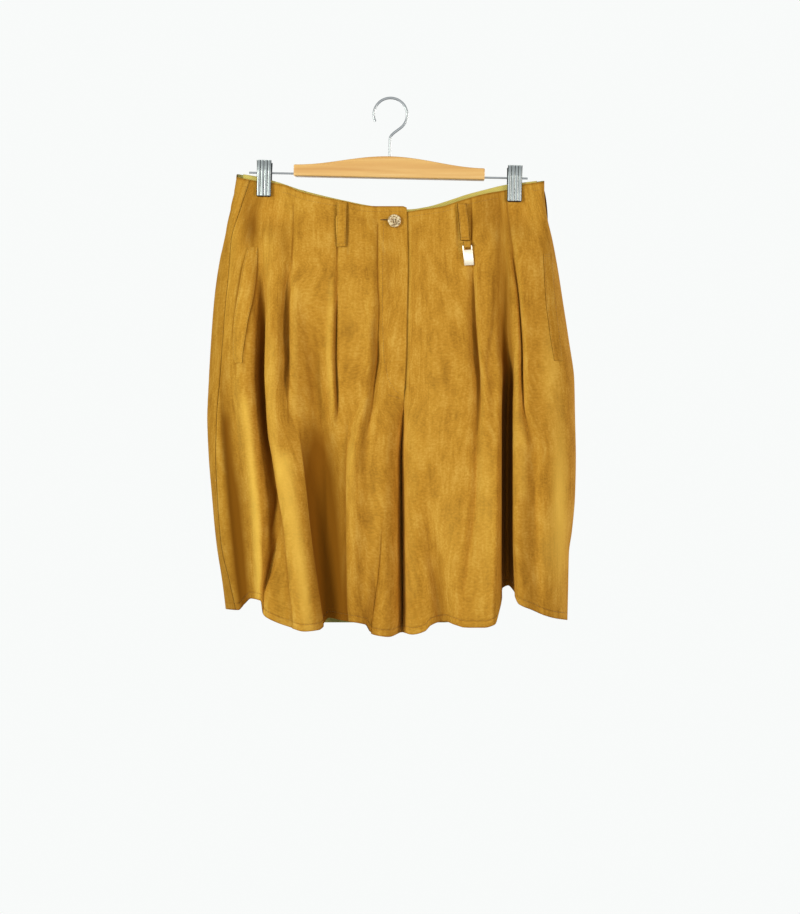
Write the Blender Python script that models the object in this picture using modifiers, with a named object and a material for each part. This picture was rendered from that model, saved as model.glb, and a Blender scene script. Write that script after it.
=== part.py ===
# Pleated suede shorts hanging from a wooden hanger with two metal clips.
# Metres, +Z up, the front of the shorts faces -Y, the origin is the inside top of the hanger's hook.
# The cloth tables are in millimetres, as read off a straight front view:
#   x    - across, from the line of the fly, positive towards the wearer's left
#   drop - down, from the under side of the hanger's bar
# and place() turns them into real places, because cloth nearer to the viewer looks larger.
import math

import bmesh
import bpy
import numpy as np
from mathutils import Matrix, Vector

MM = 0.001

# ---- driving dimensions, mm ----
VIEW_DISTANCE = 1900.0      # viewer to the hanger's plane in that front view
VIEW_HEIGHT = 362.0         # drop of the viewer's eye level
HANGER_X = -12.0            # the hook is this far beside the line of the fly
BAR_UNDERSIDE = 103.0       # hook's inside top down to the bar's under side
HANGER_TILT = 1.2           # degrees, the wearer's left end hangs lower

SUEDE = 1.4                 # wall of every suede panel
SEAM_GAP = 0.4              # between two panels at a seam
LAYER_GAP = 0.35            # between a panel and what lies on it
PINCHED = 1.95              # middle of a panel to the hanger's plane, where a clip holds it
HELD_WIDTH = 11.0           # half width of the cloth that a clip flattens
HELD_DROP = 42.0            # and the drop down to which it does
HELD_FADE = 30.0            # how fast the cloth fills out around that
HEM_LEVEL = 580.0           # drop of the hem where nothing lifts it
CROTCH = 312.0              # drop of the front end of the crotch seam
INSEAM_TOP = 326.0          # drop of the crotch point, between the legs
FLY_END = 270.0             # drop of the lower end of the fly opening
UNDERLAP = 25.0             # left front reaches this far under the right one
UNDER_START = 0.6           # the fly edge covers the left front from here on
INSEAM_Y = 3.0

# ---- outline: drop, outermost x on either side, x of the right side seam ----
OUTLINE = (
    (-6, -211, 187, -193), (16, -214, 187, -200), (39, -219, 189, -207), (81, -228, 198, -219),
    (120, -236, 205, -222), (159, -241, 211, -226), (211, -245, 219, -230), (263, -248, 226, -234),
    (312, -250, 227, -238), (362, -248, 228, -239), (411, -244, 227, -237), (458, -240, 223, -234),
    (489, -237, 219, -231), (536, -231, 218, -222), (580, -226, 217, -213),
)
LEFT_SEAM_IN = 9.0          # left side seam lies this far in from the outline, behind

# ---- fullness: drop, front half depth, back half depth, width of the rounded side ----
FULLNESS = (
    (0, 20, 15, 16), (60, 27, 22, 30), (120, 35, 28, 44), (200, 44, 35, 58),
    (312, 52, 42, 68), (450, 60, 48, 74), (600, 66, 52, 76),
)

# ---- centre: drop, x of the fly edge and seam, half gap between the legs, roundness there ----
CENTRE = (
    (0, 9, 0.2, 1.0), (115, 10.5, 0.2, 1.0), (158, 9.5, 0.2, 1.0), (224, 8.5, 0.2, 1.0),
    (270, 6.5, 0.2, 1.0), (284, 5.6, 0.9, 0.98), (312, 4, 1.15, 0.62), (362, 1.5, 2.2, 0.4), (459, 2, 2.9, 0.35),
    (558, 3, 1.6, 0.35), (600, 2, 1.3, 0.35),
)
LEG_ROUNDING = 26.0         # width of the rounding on a leg's inner side

# ---- edges: x, drop ----
WAIST_RIGHT = (
    (-213, -2), (-194, 2), (-179, 4), (-163, 6), (-148, 9), (-132, 16), (-101, 24),
    (-70, 30), (-46, 35), (-28, 36), (3, 36), (9, 38),
)
WAIST_LEFT = (
    (-19, 44), (11, 43), (24, 41), (54, 38), (73, 33), (94, 27), (114, 22), (140, 17),
    (164, 8), (180, 5), (187, 4),
)
WAIST_BACK = (
    (-213, -6), (-207, -5), (-184, -1), (-162, 5), (-132, 15), (-101, 23), (-70, 30), (-46, 35),
    (-19, 39), (11, 41), (34, 38), (62, 30), (86, 22), (114, 15), (140, 9), (164, 6), (187, 3),
)
HEM_RIGHT = (
    (-231, 559), (-210, 561), (-202, 553), (-194, 546), (-181, 549), (-178, 566), (-163, 576),
    (-140, 584), (-124, 589), (-109, 587), (-101, 580), (-93, 571), (-77, 574), (-46, 580),
    (-41, 589), (-31, 594), (-15, 596), (0, 590),
)
HEM_LEFT = (
    (5, 590), (16, 593), (32, 589), (40, 581), (49, 577), (60, 576), (71, 580), (86, 584),
    (110, 584), (122, 580), (128, 557), (133, 532), (141, 529), (149, 537), (157, 554),
    (172, 561), (188, 568), (203, 572), (218, 574),
)
HEM_BACK = (
    (-231, 559), (-207, 549), (-194, 540), (-171, 555), (-142, 570), (-97, 577), (-25, 577),
    (40, 577), (57, 577), (85, 570), (111, 548), (131, 524), (150, 522), (176, 535), (202, 557),
    (218, 572),
)

# ---- folds: a row for each station down the fold ----
# drop, x, deep (troughs are positive, ridges negative), reach to the left, reach to the right
FRONT_FOLDS = {
    "side_valley": (
        (198, -227, 0, 8, 12), (250, -228, 6, 8, 12), (341, -223, 11, 9, 14),
        (420, -216, 13, 10, 15), (497, -207, 12, 10, 14), (581, -196, 11, 10, 10)),
    "side_ridge": (
        (224, -207, -1, 7, 10), (269, -208, -5, 7, 12), (343, -201, -7, 8, 13),
        (450, -191, -8, 8, 12), (546, -183, -7, 6, 6), (581, -183, -6, 6, 5)),
    "clip_dent": (
        (11, -181, 0, 6, 6), (29, -185, 3, 7, 6), (47, -192, 4, 8, 7), (94, -196, 0, 8, 8)),
    "pocket_trough": (
        (81, -182, 1, 9, 6), (120, -180, 6, 10, 6), (147, -177, 11, 12, 5), (202, -175, 21, 13, 4),
        (256, -176, 28, 13, 4), (289, -174, 28, 13, 4), (362, -166, 20, 13, 5),
        (438, -158, 13, 11, 5), (510, -168, 10, 8, 4), (538, -177, 12, 6, 4), (575, -179, 14, 5, 4)),
    "second_lobe": (
        (146, -161, -2, 10, 12), (211, -162, -5, 10, 12), (328, -155, -6, 12, 15),
        (445, -141, -10, 13, 17), (549, -128, -14, 18, 17), (588, -125, -14, 20, 16)),
    "outer_pleat": (
        (35, -138, 1, 5, 4), (106, -140, 2, 6, 3.5), (158, -144, 7, 9, 3), (202, -144, 9, 10, 3),
        (234, -142, 9, 10, 3), (285, -146, 3, 9, 4), (308, -148, 0, 8, 4)),
    "wide_trough": (
        (159, -116, 0, 12, 12), (211, -112, 4, 13, 10), (263, -106, 8, 16, 10),
        (341, -94, 16, 22, 20), (420, -90, 24, 22, 22), (497, -88, 27, 19, 19),
        (575, -81, 26, 16, 16)),
    "middle_pleat": (
        (35, -82, 1, 4, 4), (94, -82, 2, 4, 4), (150, -82, 4, 4, 4), (193, -84, 6, 4, 4),
        (234, -86, 7, 4, 4), (289, -83, 4, 4, 4), (321, -81, 0, 4, 4)),
    "middle_pleat_edge": (
        (172, -90, 0, 5, 4), (237, -91, -4, 6, 4), (321, -86, -2, 6, 6), (354, -80, 0, 6, 6)),
    "inner_pleat": (
        (44, -29, 1, 5, 4), (159, -27, 3, 6, 4), (202, -30, 8, 8, 5), (230, -29, 10, 8, 5),
        (267, -34, 10, 9, 6), (329, -43, 6, 8, 6), (373, -46, 3, 8, 6), (406, -47, 0, 8, 6)),
    "third_lobe_edge": (
        (269, -38, -2, 5, 12), (329, -54, -6, 5, 16), (420, -63, -9, 5, 20), (541, -62, -9, 5, 20),
        (588, -58, -9, 6, 18)),
    "inner_leg_fold": (
        (458, -25, 0, 6, 4), (494, -28, 3, 6, 4), (544, -34, 6, 7, 3.5), (577, -40, 8, 8, 3.5)),
    "left_leg_fold": (
        (411, 34, 0, 6, 10), (472, 40, 4, 6, 12), (516, 46, 8, 7, 14), (577, 53, 11, 7, 13)),
    "loop_pleat": (
        (87, 92, 1, 5, 3.5), (158, 98, 5, 8, 3.5), (202, 101, 8, 9, 3.5), (234, 103, 9, 9, 3.5),
        (267, 106, 8, 9, 4), (337, 101, 4, 7, 4), (450, 95, 3, 6, 5), (538, 85, 0, 6, 6)),
    "shoulder_line": (
        (100, 124, 0, 3, 5), (169, 123, 2, 3, 6), (245, 116, 3, 3, 6), (328, 120, 0, 3, 5)),
    "deep_trough": (
        (60, 135, 1, 7, 4), (115, 136, 4, 10, 5), (180, 138, 10, 12, 6), (224, 140, 16, 11, 6),
        (252, 142, 24, 9, 7), (276, 141, 34, 8.5, 8), (312, 140, 42, 8.5, 8),
        (386, 139, 46, 8.5, 8.5), (459, 139, 46, 8.5, 8.5), (536, 140, 42, 10, 9),
        (568, 141, 40, 10, 9)),
    "side_pleat": (
        (33, 139, 1, 4, 4), (89, 146, 2.5, 4, 4), (119, 151, 5, 4, 4), (163, 157, 9, 4, 4),
        (245, 161, 11, 4, 4), (294, 161, 6, 4, 5), (354, 173, 4, 7, 8), (562, 175, 3, 8, 9)),
    "fifth_lobe_edge": (
        (276, 123, -1, 14, 4), (393, 123, -4, 16, 4), (562, 118, -7, 18, 5)),
    "sixth_lobe_edge": (
        (282, 154, -2, 4, 10), (393, 153, -4, 4, 12), (562, 159, -6, 4, 14)),
}
BACK_FOLDS = {
    "right_dart": (
        (15, -128, 0.5, 4, 4), (95, -122, 1.5, 4, 4), (120, -120, 0, 4, 4)),
    "right_inner_dart": (
        (30, -72, 0.4, 4, 4), (85, -69, 0.5, 4, 4), (105, -68, 1.5, 4, 4), (130, -66, 0, 4, 4)),
    "left_inner_dart": (
        (30, 70, 0.4, 4, 4), (85, 67, 0.5, 4, 4), (105, 66, 1.5, 4, 4), (130, 64, 0, 4, 4)),
    "left_dart": (
        (10, 128, 0.4, 4, 4), (95, 122, 1.5, 4, 4), (120, 120, 0, 4, 4)),
    "right_side_trough": (
        (210, -196, 0, 12, 14), (320, -190, 9, 13, 12), (450, -192, 14, 13, 10),
        (590, -194, 15, 12, 10)),
    "right_outer_lobe": (
        (180, -165, 0, 14, 16), (400, -160, -6, 16, 18), (590, -152, -9, 18, 20)),
    "right_middle_trough": (
        (250, -112, 0, 10, 14), (380, -108, 9, 12, 16), (500, -104, 15, 12, 18),
        (590, -100, 17, 11, 18)),
    "right_inner_lobe": (
        (240, -62, 0, 16, 14), (420, -58, -6, 18, 16), (590, -52, -8, 18, 16)),
    "left_inner_trough": (
        (260, 40, 0, 8, 12), (400, 44, 6, 9, 14), (590, 50, 11, 9, 15)),
    "left_middle_lobe": (
        (200, 84, 0, 16, 12), (420, 88, -6, 18, 12), (590, 92, -8, 18, 12)),
    "left_outer_trough": (
        (190, 138, 0, 12, 14), (320, 136, 10, 14, 15), (450, 134, 17, 14, 14),
        (590, 136, 20, 13, 13)),
    "left_side_lobe": (
        (220, 178, 0, 12, 12), (430, 180, -4, 12, 12), (590, 178, -5, 12, 12)),
}

# ---- rails: lines that a column of the cloth's grid follows, (drop, x) down each, and the
# ---- number of columns from the rail before; the last count reaches the panel's far edge
RAILS = {
    "front_right": (
        (3, ((0, -187), (81, -209), (198, -226), (250, -228), (341, -223), (420, -216),
             (497, -207), (581, -196))),
        (4, ((0, -180), (81, -199), (198, -207), (269, -208), (343, -201), (450, -191),
             (546, -185), (581, -184))),
        (5, ((0, -172), (81, -182), (147, -177), (202, -175), (289, -174), (362, -166),
             (438, -158), (510, -168), (538, -176), (575, -178))),
        (3, ((0, -164), (81, -172), (202, -169), (289, -168), (362, -160), (438, -151),
             (510, -161), (538, -170), (575, -172))),
        (7, ((35, -138), (106, -140), (158, -144), (234, -142), (285, -144), (330, -134),
             (381, -120), (459, -111), (575, -99))),
        (9, ((35, -82), (193, -84), (234, -86), (289, -83), (330, -75), (373, -68),
             (541, -67), (588, -63))),
        (7, ((44, -29), (159, -27), (230, -29), (267, -34), (329, -43), (373, -46),
             (430, -38), (494, -29), (577, -40))),
        (6, None)),
    "front_left": (
        (6, ((0, 40), (300, 38), (411, 36), (472, 41), (577, 54))),
        (8, ((0, 92), (87, 92), (202, 101), (267, 106), (337, 101), (450, 95), (538, 86),
             (580, 82))),
        (6, ((0, 126), (60, 130), (180, 128), (252, 132), (459, 130), (568, 130))),
        (4, ((0, 131), (60, 135), (180, 138), (252, 142), (312, 140), (459, 139), (568, 141))),
        (4, ((0, 135), (60, 139), (115, 142), (180, 146), (252, 150), (312, 149), (459, 148),
             (568, 151))),
        (4, ((0, 139), (60, 143), (119, 151), (163, 157), (245, 161), (294, 162), (354, 173),
             (562, 175))),
        (5, ((0, 165), (81, 185), (200, 203), (341, 210), (562, 209))),
        (4, None)),
    "back_right": (
        (5, ((0, -58), (240, -62), (420, -58), (590, -52))),
        (4, ((0, -112), (250, -112), (380, -108), (590, -100))),
        (4, ((0, -150), (180, -165), (400, -160), (590, -152))),
        (4, ((0, -180), (210, -196), (320, -190), (590, -194))),
        (5, None)),
    "back_left": (
        (4, ((0, 160), (220, 178), (590, 178))),
        (6, ((0, 128), (190, 138), (450, 134), (590, 136))),
        (6, ((0, 80), (420, 88), (590, 92))),
        (4, ((0, 36), (400, 44), (590, 50))),
        (4, None)),
}

# ---- levels of the rows and fineness of the columns ----
LEVELS = (
    0, 14, 32, 52, 76, 102, 130, 160, 190, 220, 248, 270, 284, 298, 312, 338, 368, 400, 434, 468, 502,
    534, 560, 580,
)
LEG_COLUMNS = 4             # columns on the inner side of a leg, between front and inseam
FINE = 500                  # fine steps from which a row's columns are chosen
SPAN = 120                  # and between two rails
FOLD_PULL = 2.6             # how much closer the columns lie at a fold
FLY_PULL = 3.0              # and at the fly edge

# ---- hanger, mm ----
HOOK_INSIDE = 40.0
HOOK_WIRE = 3.4
HOOK_TIP = 205.0            # degrees round the hook where its tip is
HOOK_LEAVES = -50.0         # and where it bends into the stem
STEM_STARTS = -52.0         # height where the stem runs straight
BAR_LENGTH = 248.0
BAR_HEIGHT = 28.0
BAR_END_HEIGHT = 15.0
BAR_DEPTH = 12.0
BAR_ROUNDING = 1.2
ROD = 2.6
ROD_ABOVE_UNDERSIDE = 3.8
ROD_END_RIGHT = 182.0       # the rods reach this far out from the hook's line
ROD_END_LEFT = 180.0
FIT = 0.35                  # between two hard pieces that touch
CLIPS = (("right", -174.0), ("left", 151.0))    # x of the two clips
CLIP_WIDTH = 18.0
CLIP_SHEET = 1.3
CLIP_FLUTES = 4
CLIP_FLUTE_DEPTH = 0.8
CLIP_SIDE = (               # height above the rod, half distance between the plates' middles
    (-30.5, 5.45), (-22, 5.6), (-11, 5.15), (0, 4.75), (6, 6.0), (15, 9.2),
)
CLIP_ROWS = (15.0, 7.0, 0.0, -10.0, -20.0, -30.5)
SLEEVE = 3.7                # radius of the spring sleeve round the rod
SLEEVE_LENGTH = 14.0
PAD_HEIGHT = 9.0
PAD_THICK = 1.4
PAD_BELOW = 0.9             # the rubber pad shows below the plate

# ---- small pieces, mm ----
BUTTON_X = -7.2
BUTTON_DROP = 55.8
BUTTON_WIDTH = 17.0
BUTTON_SIDE = (             # from the middle out: share of the radius, height
    (0.0, 2.2), (0.55, 2.2), (0.68, 3.4), (0.84, 3.6), (0.97, 2.9), (1.0, 1.8), (0.9, 0.4), (0.7, 0.0),
    (0.0, 0.0),
)
BUTTON_HOLE = 1.7
BUTTON_HOLES_APART = 3.0
LOOP_SUEDE = 1.3
LOOP_GAP = 0.5
LOOP_STANDS_OFF = 1.6       # middle of a belt loop above its sewn ends
# belt loop: side, upper drop, lower drop, x left at the top and bottom, x right at the top and bottom
BELT_LOOPS = {
    "belt_loop_right": ("front_right", 31.5, 89.0, -80.6, -81.8, -69.0, -70.6),
    "belt_loop_left": ("front_left", 32.5, 81.0, 74.2, 78.6, 85.6, 90.6),
    "belt_loop_back_right": ("back", -3.0, 52.0, -208.0, -216.2, -198.4, -206.2),
    "belt_loop_back_left": ("back", 5.5, 61.0, 174.5, 181.0, 184.4, 190.6),
}
WELT_THICK = 1.2
WELT_GAP = 0.9
# pocket welt: drop, x towards the left, x towards the right
WELTS = {
    "pocket_welt_right": (
        (90, -198, -185), (119, -205, -187), (142, -208.5, -189.5), (163, -212, -193),
        (182, -215, -197), (207, -216.5, -201), (229, -217, -204), (240, -213, -204.5)),
    "pocket_welt_left": (
        (98, 186, 197), (126, 187, 199.5), (158, 189, 202), (198, 194, 206.5), (237, 200, 211)),
}
FACING_LEVELS = (0, 14, 32, 45)
FACING_THICK = 0.9
FACING_GAP = 1.0
FACING_BELOW_EDGE = 0.8
FACING_COLUMNS = 39         # closest where the clips' hold fades out
FACING_FROM = -203.0
FACING_TO = 177.0
TAG_X = 86.6                # middle of the tag's top bar
TAG_DROP = 88.6
TAG_WIDTH = 12.6
TAG_LENGTH = 25.4           # below the middle of the bar
TAG_THICK = 1.5
TAG_BAR = 1.5
TAG_SLOT_WIDTH = 9.4
TAG_SLOT_HEIGHT = 4.6
TAG_TURN = -6.0             # degrees, the tag hangs a little slantwise
TAG_LOOP_WIDTH = 8.6
TAG_LOOP_THICK = 1.0
TAG_LOOP_INSIDE = 1.4       # radius round the tag's bar
TAG_LOOP_RISES = 5.6        # from the bar to the belt loop's lower end


def smooth_step(value):
    t = np.clip(value, 0.0, 1.0)
    return t * t * (3.0 - 2.0 * t)


def curve_through(table, column=1):
    """A smooth curve through one column of a table that never overshoots its rows."""
    at = np.array([row[0] for row in table], float)
    value = np.array([row[column] for row in table], float)
    step = np.diff(at)
    slope = np.diff(value) / step
    tangent = np.zeros(len(at))
    same = slope[:-1] * slope[1:] > 0.0
    safe = np.where(same, slope[:-1] + slope[1:], 1.0)
    tangent[1:-1] = np.where(same, 2.0 * slope[:-1] * slope[1:] / safe, 0.0)
    tangent[0], tangent[-1] = slope[0], slope[-1]

    def read(where):
        where = np.clip(np.asarray(where, float), at[0], at[-1])
        i = np.clip(np.searchsorted(at, where, side="right") - 1, 0, len(step) - 1)
        t = (where - at[i]) / step[i]
        rise = value[i + 1] - value[i]
        a = tangent[i] * step[i]
        b = tangent[i + 1] * step[i]
        return value[i] + t * (a + t * (3.0 * rise - 2.0 * a - b + t * (a + b - 2.0 * rise)))

    return read


right_outline = curve_through(OUTLINE, 1)
left_outline = curve_through(OUTLINE, 2)
right_seam = curve_through(OUTLINE, 3)
front_depth = curve_through(FULLNESS, 1)
back_depth = curve_through(FULLNESS, 2)
side_width = curve_through(FULLNESS, 3)
centre_x = curve_through(CENTRE, 1)
centre_gap = curve_through(CENTRE, 2)
centre_round = curve_through(CENTRE, 3)


def read_folds(folds):
    """Each fold as curves down its length: x, deep, reach left and reach right."""
    curves = []
    for rows in folds.values():
        curves.append([curve_through(rows, column) for column in (1, 2, 3, 4)])
    return curves


RAIL_CURVES = {
    name: [(count, curve_through(rows) if rows else None) for count, rows in rails]
    for name, rails in RAILS.items()
}
FRONT_CURVES = read_folds(FRONT_FOLDS)
BACK_CURVES = read_folds(BACK_FOLDS)


def fold_relief(curves, x, drop):
    """How far all folds together push the cloth inwards."""
    total = np.zeros(np.broadcast(x, drop).shape)
    for line, deep, left, right in curves:
        away = x - line(drop)
        reach = np.where(away < 0.0, left(drop), right(drop))
        total = total + deep(drop) * np.exp(-np.abs(away / reach) ** 2.4)
    return total


def fold_weight(curves, x, drop):
    """How densely the columns lie: more at a fold."""
    total = np.ones(np.broadcast(x, drop).shape)
    for line, deep, left, right in curves:
        away = (x - line(drop)) / (left(drop) + right(drop))
        strength = np.clip(np.abs(deep(drop)) / 8.0, 0.0, 1.0)
        total = total + FOLD_PULL * strength * np.exp(-away * away)
    return total + FLY_PULL * np.exp(-((x - centre_x(drop) - 2.5) / 4.5) ** 2)


def rounded(distance, width):
    """Quarter ellipse: 0 at the outermost line, 1 where the panel runs flat."""
    s = np.clip(distance / width, 0.0, 1.0)
    return np.sqrt(np.clip(1.0 - (1.0 - s) ** 2, 0.0, 1.0))


def pinch(x, drop):
    """1 under a clip's jaws, fading to 0 around them."""
    total = np.zeros(np.broadcast(x, drop).shape)
    for _, clip_x in CLIPS:
        beside = np.clip(np.abs(x - clip_x) - HELD_WIDTH, 0.0, None)
        below = np.clip(drop - HELD_DROP, 0.0, None)
        total = total + np.exp(-(beside / HELD_FADE) ** 2 - (below / HELD_FADE) ** 2)
    return np.clip(total, 0.0, 1.0)


def leg_dip(x, drop):
    """Rounding of the legs' inner sides, next to the gap between them."""
    beside = np.abs(x - centre_x(drop)) - centre_gap(drop)
    hollow = 1.0 - rounded(beside, LEG_ROUNDING)
    return 1.0 - (1.0 - centre_round(drop)) * hollow


def cloth_y(x, drop, behind):
    """Depth of the middle of the front or back wall; the front is negative."""
    sides = rounded(x - right_outline(drop), side_width(drop))
    sides = sides * rounded(left_outline(drop) - x, side_width(drop))
    full = back_depth(drop) if behind else front_depth(drop)
    held = pinch(x, drop)
    depth = full * sides * leg_dip(x, drop)
    depth = depth - sides * fold_relief(BACK_CURVES if behind else FRONT_CURVES, x, drop)
    depth = depth * (1.0 - held) + PINCHED * np.minimum(sides * 1.6, 1.0) * held
    return depth if behind else -depth


def place(x, drop, y):
    """Real place in metres of a point that a front view shows at x and drop."""
    nearer = 1.0 + y / VIEW_DISTANCE
    real_x = x * nearer - HANGER_X
    real_z = -BAR_UNDERSIDE - VIEW_HEIGHT - (drop - VIEW_HEIGHT) * nearer
    return np.stack(np.broadcast_arrays(real_x, y, real_z), axis=-1) * MM


def edge_drop(level, waist, hem):
    """A row's drop: it follows the waist edge at the top and the hem at the bottom."""
    top = waist * (1.0 - np.clip(level / 150.0, 0.0, 1.0)) ** 1.3
    bottom = (hem - HEM_LEVEL) * smooth_step((level - 430.0) / 150.0)
    return level + top + bottom


def even_columns(points, weight, count):
    """Positions along a fine line that share out its length times its weight."""
    step = np.linalg.norm(np.diff(points, axis=0), axis=1)
    step = step * 0.5 * (weight[:-1] + weight[1:])
    along = np.concatenate([[0.0], np.cumsum(step)])
    return np.interp(np.linspace(0.0, along[-1], count), along, np.arange(len(points)))


def panel_row(level, stretches, name):
    """One row of a panel over its stretches of (behind, x, waist, hem, step back)."""
    points, weights = [], []
    for behind, x, waist, hem, back_step in stretches:
        drop = edge_drop(level, waist(x), hem(x))
        y = cloth_y(x, drop, behind) + back_step(x, drop)
        points.append(place(x, drop, y))
        weights.append(fold_weight(BACK_CURVES if behind else FRONT_CURVES, x, drop))
    points = np.concatenate(points)
    weights = np.concatenate(weights)
    travel = stretches[0][1]
    order = np.argsort(travel)
    row, first = [points[:1]], 0.0
    for count, rail in RAIL_CURVES[name]:
        last = len(points) - 1.0
        if rail is not None:
            last = float(np.interp(rail(level), travel[order], order))
        where = np.linspace(first, last, SPAN)
        fine = sample(points, where)
        chosen = even_columns(fine, sample(weights[:, None], where)[:, 0], count + 1)
        row.append(sample(fine, chosen[1:]))
        first = last
    return np.concatenate(row)


def sample(points, where):
    """Points read between the rows of an array, at fractional places."""
    index = np.arange(len(points))
    return np.stack([np.interp(where, index, points[:, k]) for k in range(points.shape[1])], axis=1)


def no_step(x, drop):
    return np.zeros(np.broadcast(x, drop).shape)


def under_fly(x, drop):
    """The left front lies behind the right one from the fly edge inwards."""
    beyond = (centre_x(drop) + 5.0 - x) / 4.5
    lower = 1.0 - smooth_step((drop - FLY_END) / 14.0)
    return (SUEDE + 0.55) * smooth_step(beyond) * lower


WAIST_CURVES = {
    "front_right": curve_through(WAIST_RIGHT), "front_left": curve_through(WAIST_LEFT),
    "back": curve_through(WAIST_BACK),
}
HEM_CURVES = {
    "front_right": curve_through(HEM_RIGHT), "front_left": curve_through(HEM_LEFT),
    "back": curve_through(HEM_BACK),
}


def stretch(side, x, step=no_step):
    """A stretch of a row on the front_right, front_left or back outline."""
    return side == "back", x, WAIST_CURVES[side], HEM_CURVES[side], step


def front_right_row(level):
    half = 0.5 * SEAM_GAP
    x = np.linspace(right_seam(level) + half, centre_x(level) - centre_gap(level), FINE)
    return panel_row(level, [stretch("front_right", x)], "front_right")


def front_left_row(level):
    start = centre_x(level) + max(float(centre_gap(level)) + 0.2, UNDER_START)
    end = left_outline(level)
    front = start + (end - start) * np.sin(np.linspace(0.0, math.pi / 2, FINE))
    behind = end - (LEFT_SEAM_IN - 0.5 * SEAM_GAP) * np.linspace(0.0, 1.0, 60)[1:] ** 2
    stretches = [stretch("front_left", front, under_fly), stretch("back", behind)]
    return panel_row(level, stretches, "front_left")


def back_left_row(level):
    start = left_outline(level) - LEFT_SEAM_IN - 0.5 * SEAM_GAP
    end = centre_x(level) + centre_gap(level)
    x = start + (end - start) * np.linspace(0.0, 1.0, FINE) ** 1.5
    return panel_row(level, [stretch("back", x)], "back_left")


def back_right_row(level):
    start = centre_x(level) - centre_gap(level)
    edge = right_outline(level)
    seam = right_seam(level) - 0.5 * SEAM_GAP
    behind = start + (edge - start) * np.sin(np.linspace(0.0, math.pi / 2, FINE))
    front = edge + (seam - edge) * np.linspace(0.0, 1.0, 80)[1:] ** 2
    return panel_row(level, [stretch("back", behind), stretch("front_right", front)], "back_right")


def leg_row(level, corner, side, behind):
    """The inner side of a leg, from the corner of its front or back to the inseam."""
    share = np.linspace(0.0, 1.0, LEG_COLUMNS + 1)[1:]
    down = np.clip((level - CROTCH) / (HEM_LEVEL - CROTCH), 0.0, 1.0)
    top = INSEAM_TOP - CROTCH
    end_y = INSEAM_Y + (0.5 if behind else -0.5) * SEAM_GAP
    y = corner[1] / MM + (end_y - corner[1] / MM) * share
    drop_down = top * (1.0 - down) * share ** 1.5
    bulge = side * (0.4 + 5.0 * down) * np.sin(share * math.pi / 2)
    x = np.full(LEG_COLUMNS, corner[0]) + bulge * MM
    z = np.full(LEG_COLUMNS, corner[2]) - drop_down * MM
    return np.stack([x, y * MM, z], axis=1)


def underlap_row(level):
    """The left front's reach behind the right one, next to its first column."""
    x = centre_x(level) + UNDER_START - UNDERLAP * np.linspace(0.0, 1.0, LEG_COLUMNS + 1)[1:]
    drop = edge_drop(level, WAIST_CURVES["front_left"](x), HEM_LEVEL)
    return place(x, drop, cloth_y(x, drop, False) + under_fly(x, drop))


def panel_points(levels, row_of, side, behind, corner_first, lapped):
    """All rows of a panel, with the inner columns of its leg or underlap beside the corner column."""
    rows = []
    for level in levels:
        row = row_of(level)
        corner = row[0] if corner_first else row[-1]
        inner = underlap_row(level) if lapped and level <= FLY_END else leg_row(level, corner, side, behind)
        rows.append(np.concatenate([inner[::-1], row] if corner_first else [row, inner]))
    return np.array(rows)


def cloth_from_points(name, points, dropped, thickness, material):
    """A sheet through a grid of points, closed into a wall; dropped(row, column) cells are left out."""
    rows, columns = points.shape[:2]
    bm = bmesh.new()
    bmesh.ops.create_grid(bm, x_segments=columns - 1, y_segments=rows - 1, size=0.5)
    cell = {}
    for vert in bm.verts:
        row = round((0.5 - vert.co.y) * (rows - 1))
        column = round((vert.co.x + 0.5) * (columns - 1))
        cell[vert] = (row, column)
        vert.co = Vector(points[row, column])
    unwanted = []
    for face in bm.faces:
        row = min(cell[vert][0] for vert in face.verts)
        column = min(cell[vert][1] for vert in face.verts)
        if dropped(row, column):
            unwanted.append(face)
    bmesh.ops.delete(bm, geom=unwanted, context="FACES")
    for face in bm.faces:
        face.smooth = True
    mesh = bpy.data.meshes.new(name)
    bm.to_mesh(mesh)
    bm.free()
    piece = bpy.data.objects.new(name, mesh)
    mesh.materials.append(material)
    wall = piece.modifiers.new("wall", "SOLIDIFY")
    wall.thickness = thickness * MM
    wall.offset = 0.0
    return piece


def make_panel(name, levels, row_of, side, behind, corner_first, material, lapped=False):
    points = panel_points(levels, row_of, side, behind, corner_first, lapped)
    crotch_row = levels.index(CROTCH)
    fly_row = levels.index(FLY_END) if lapped else 0
    columns = points.shape[1]

    def between_fly_and_crotch(row, column):
        inner = column < LEG_COLUMNS if corner_first else column >= columns - 1 - LEG_COLUMNS
        return inner and fly_row <= row < crotch_row

    return cloth_from_points(name, points, between_fly_and_crotch, SUEDE, material)


def on_cloth(x, drop, out, side="front_right", step=no_step):
    """Points that lie on a panel, moved out from it by out mm along its surface normal."""
    behind = side == "back"

    def surface(px, pd):
        return place(px, pd, cloth_y(px, pd, behind) + step(px, pd))

    small = 0.5
    across = surface(x + small, drop) - surface(x - small, drop)
    down = surface(x, drop + small) - surface(x, drop - small)
    normal = np.cross(down, across)
    normal = normal / np.linalg.norm(normal, axis=-1, keepdims=True)
    if behind:
        normal = -normal
    return surface(x, drop) + normal * np.asarray(out)[..., None] * MM


def strip_on_cloth(name, left, right, drops, out, columns, thickness, material, side="front_right"):
    """A flat strip whose middle lies out mm above the panel's middle; left, right, out are curves."""
    rows = []
    for drop in drops:
        x = np.linspace(float(left(drop)), float(right(drop)), columns)
        level = np.full(columns, float(drop))
        rows.append(on_cloth(x, level, np.full(columns, float(out(drop))), side))
    return cloth_from_points(name, np.array(rows), lambda row, column: False, thickness, material)


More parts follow.
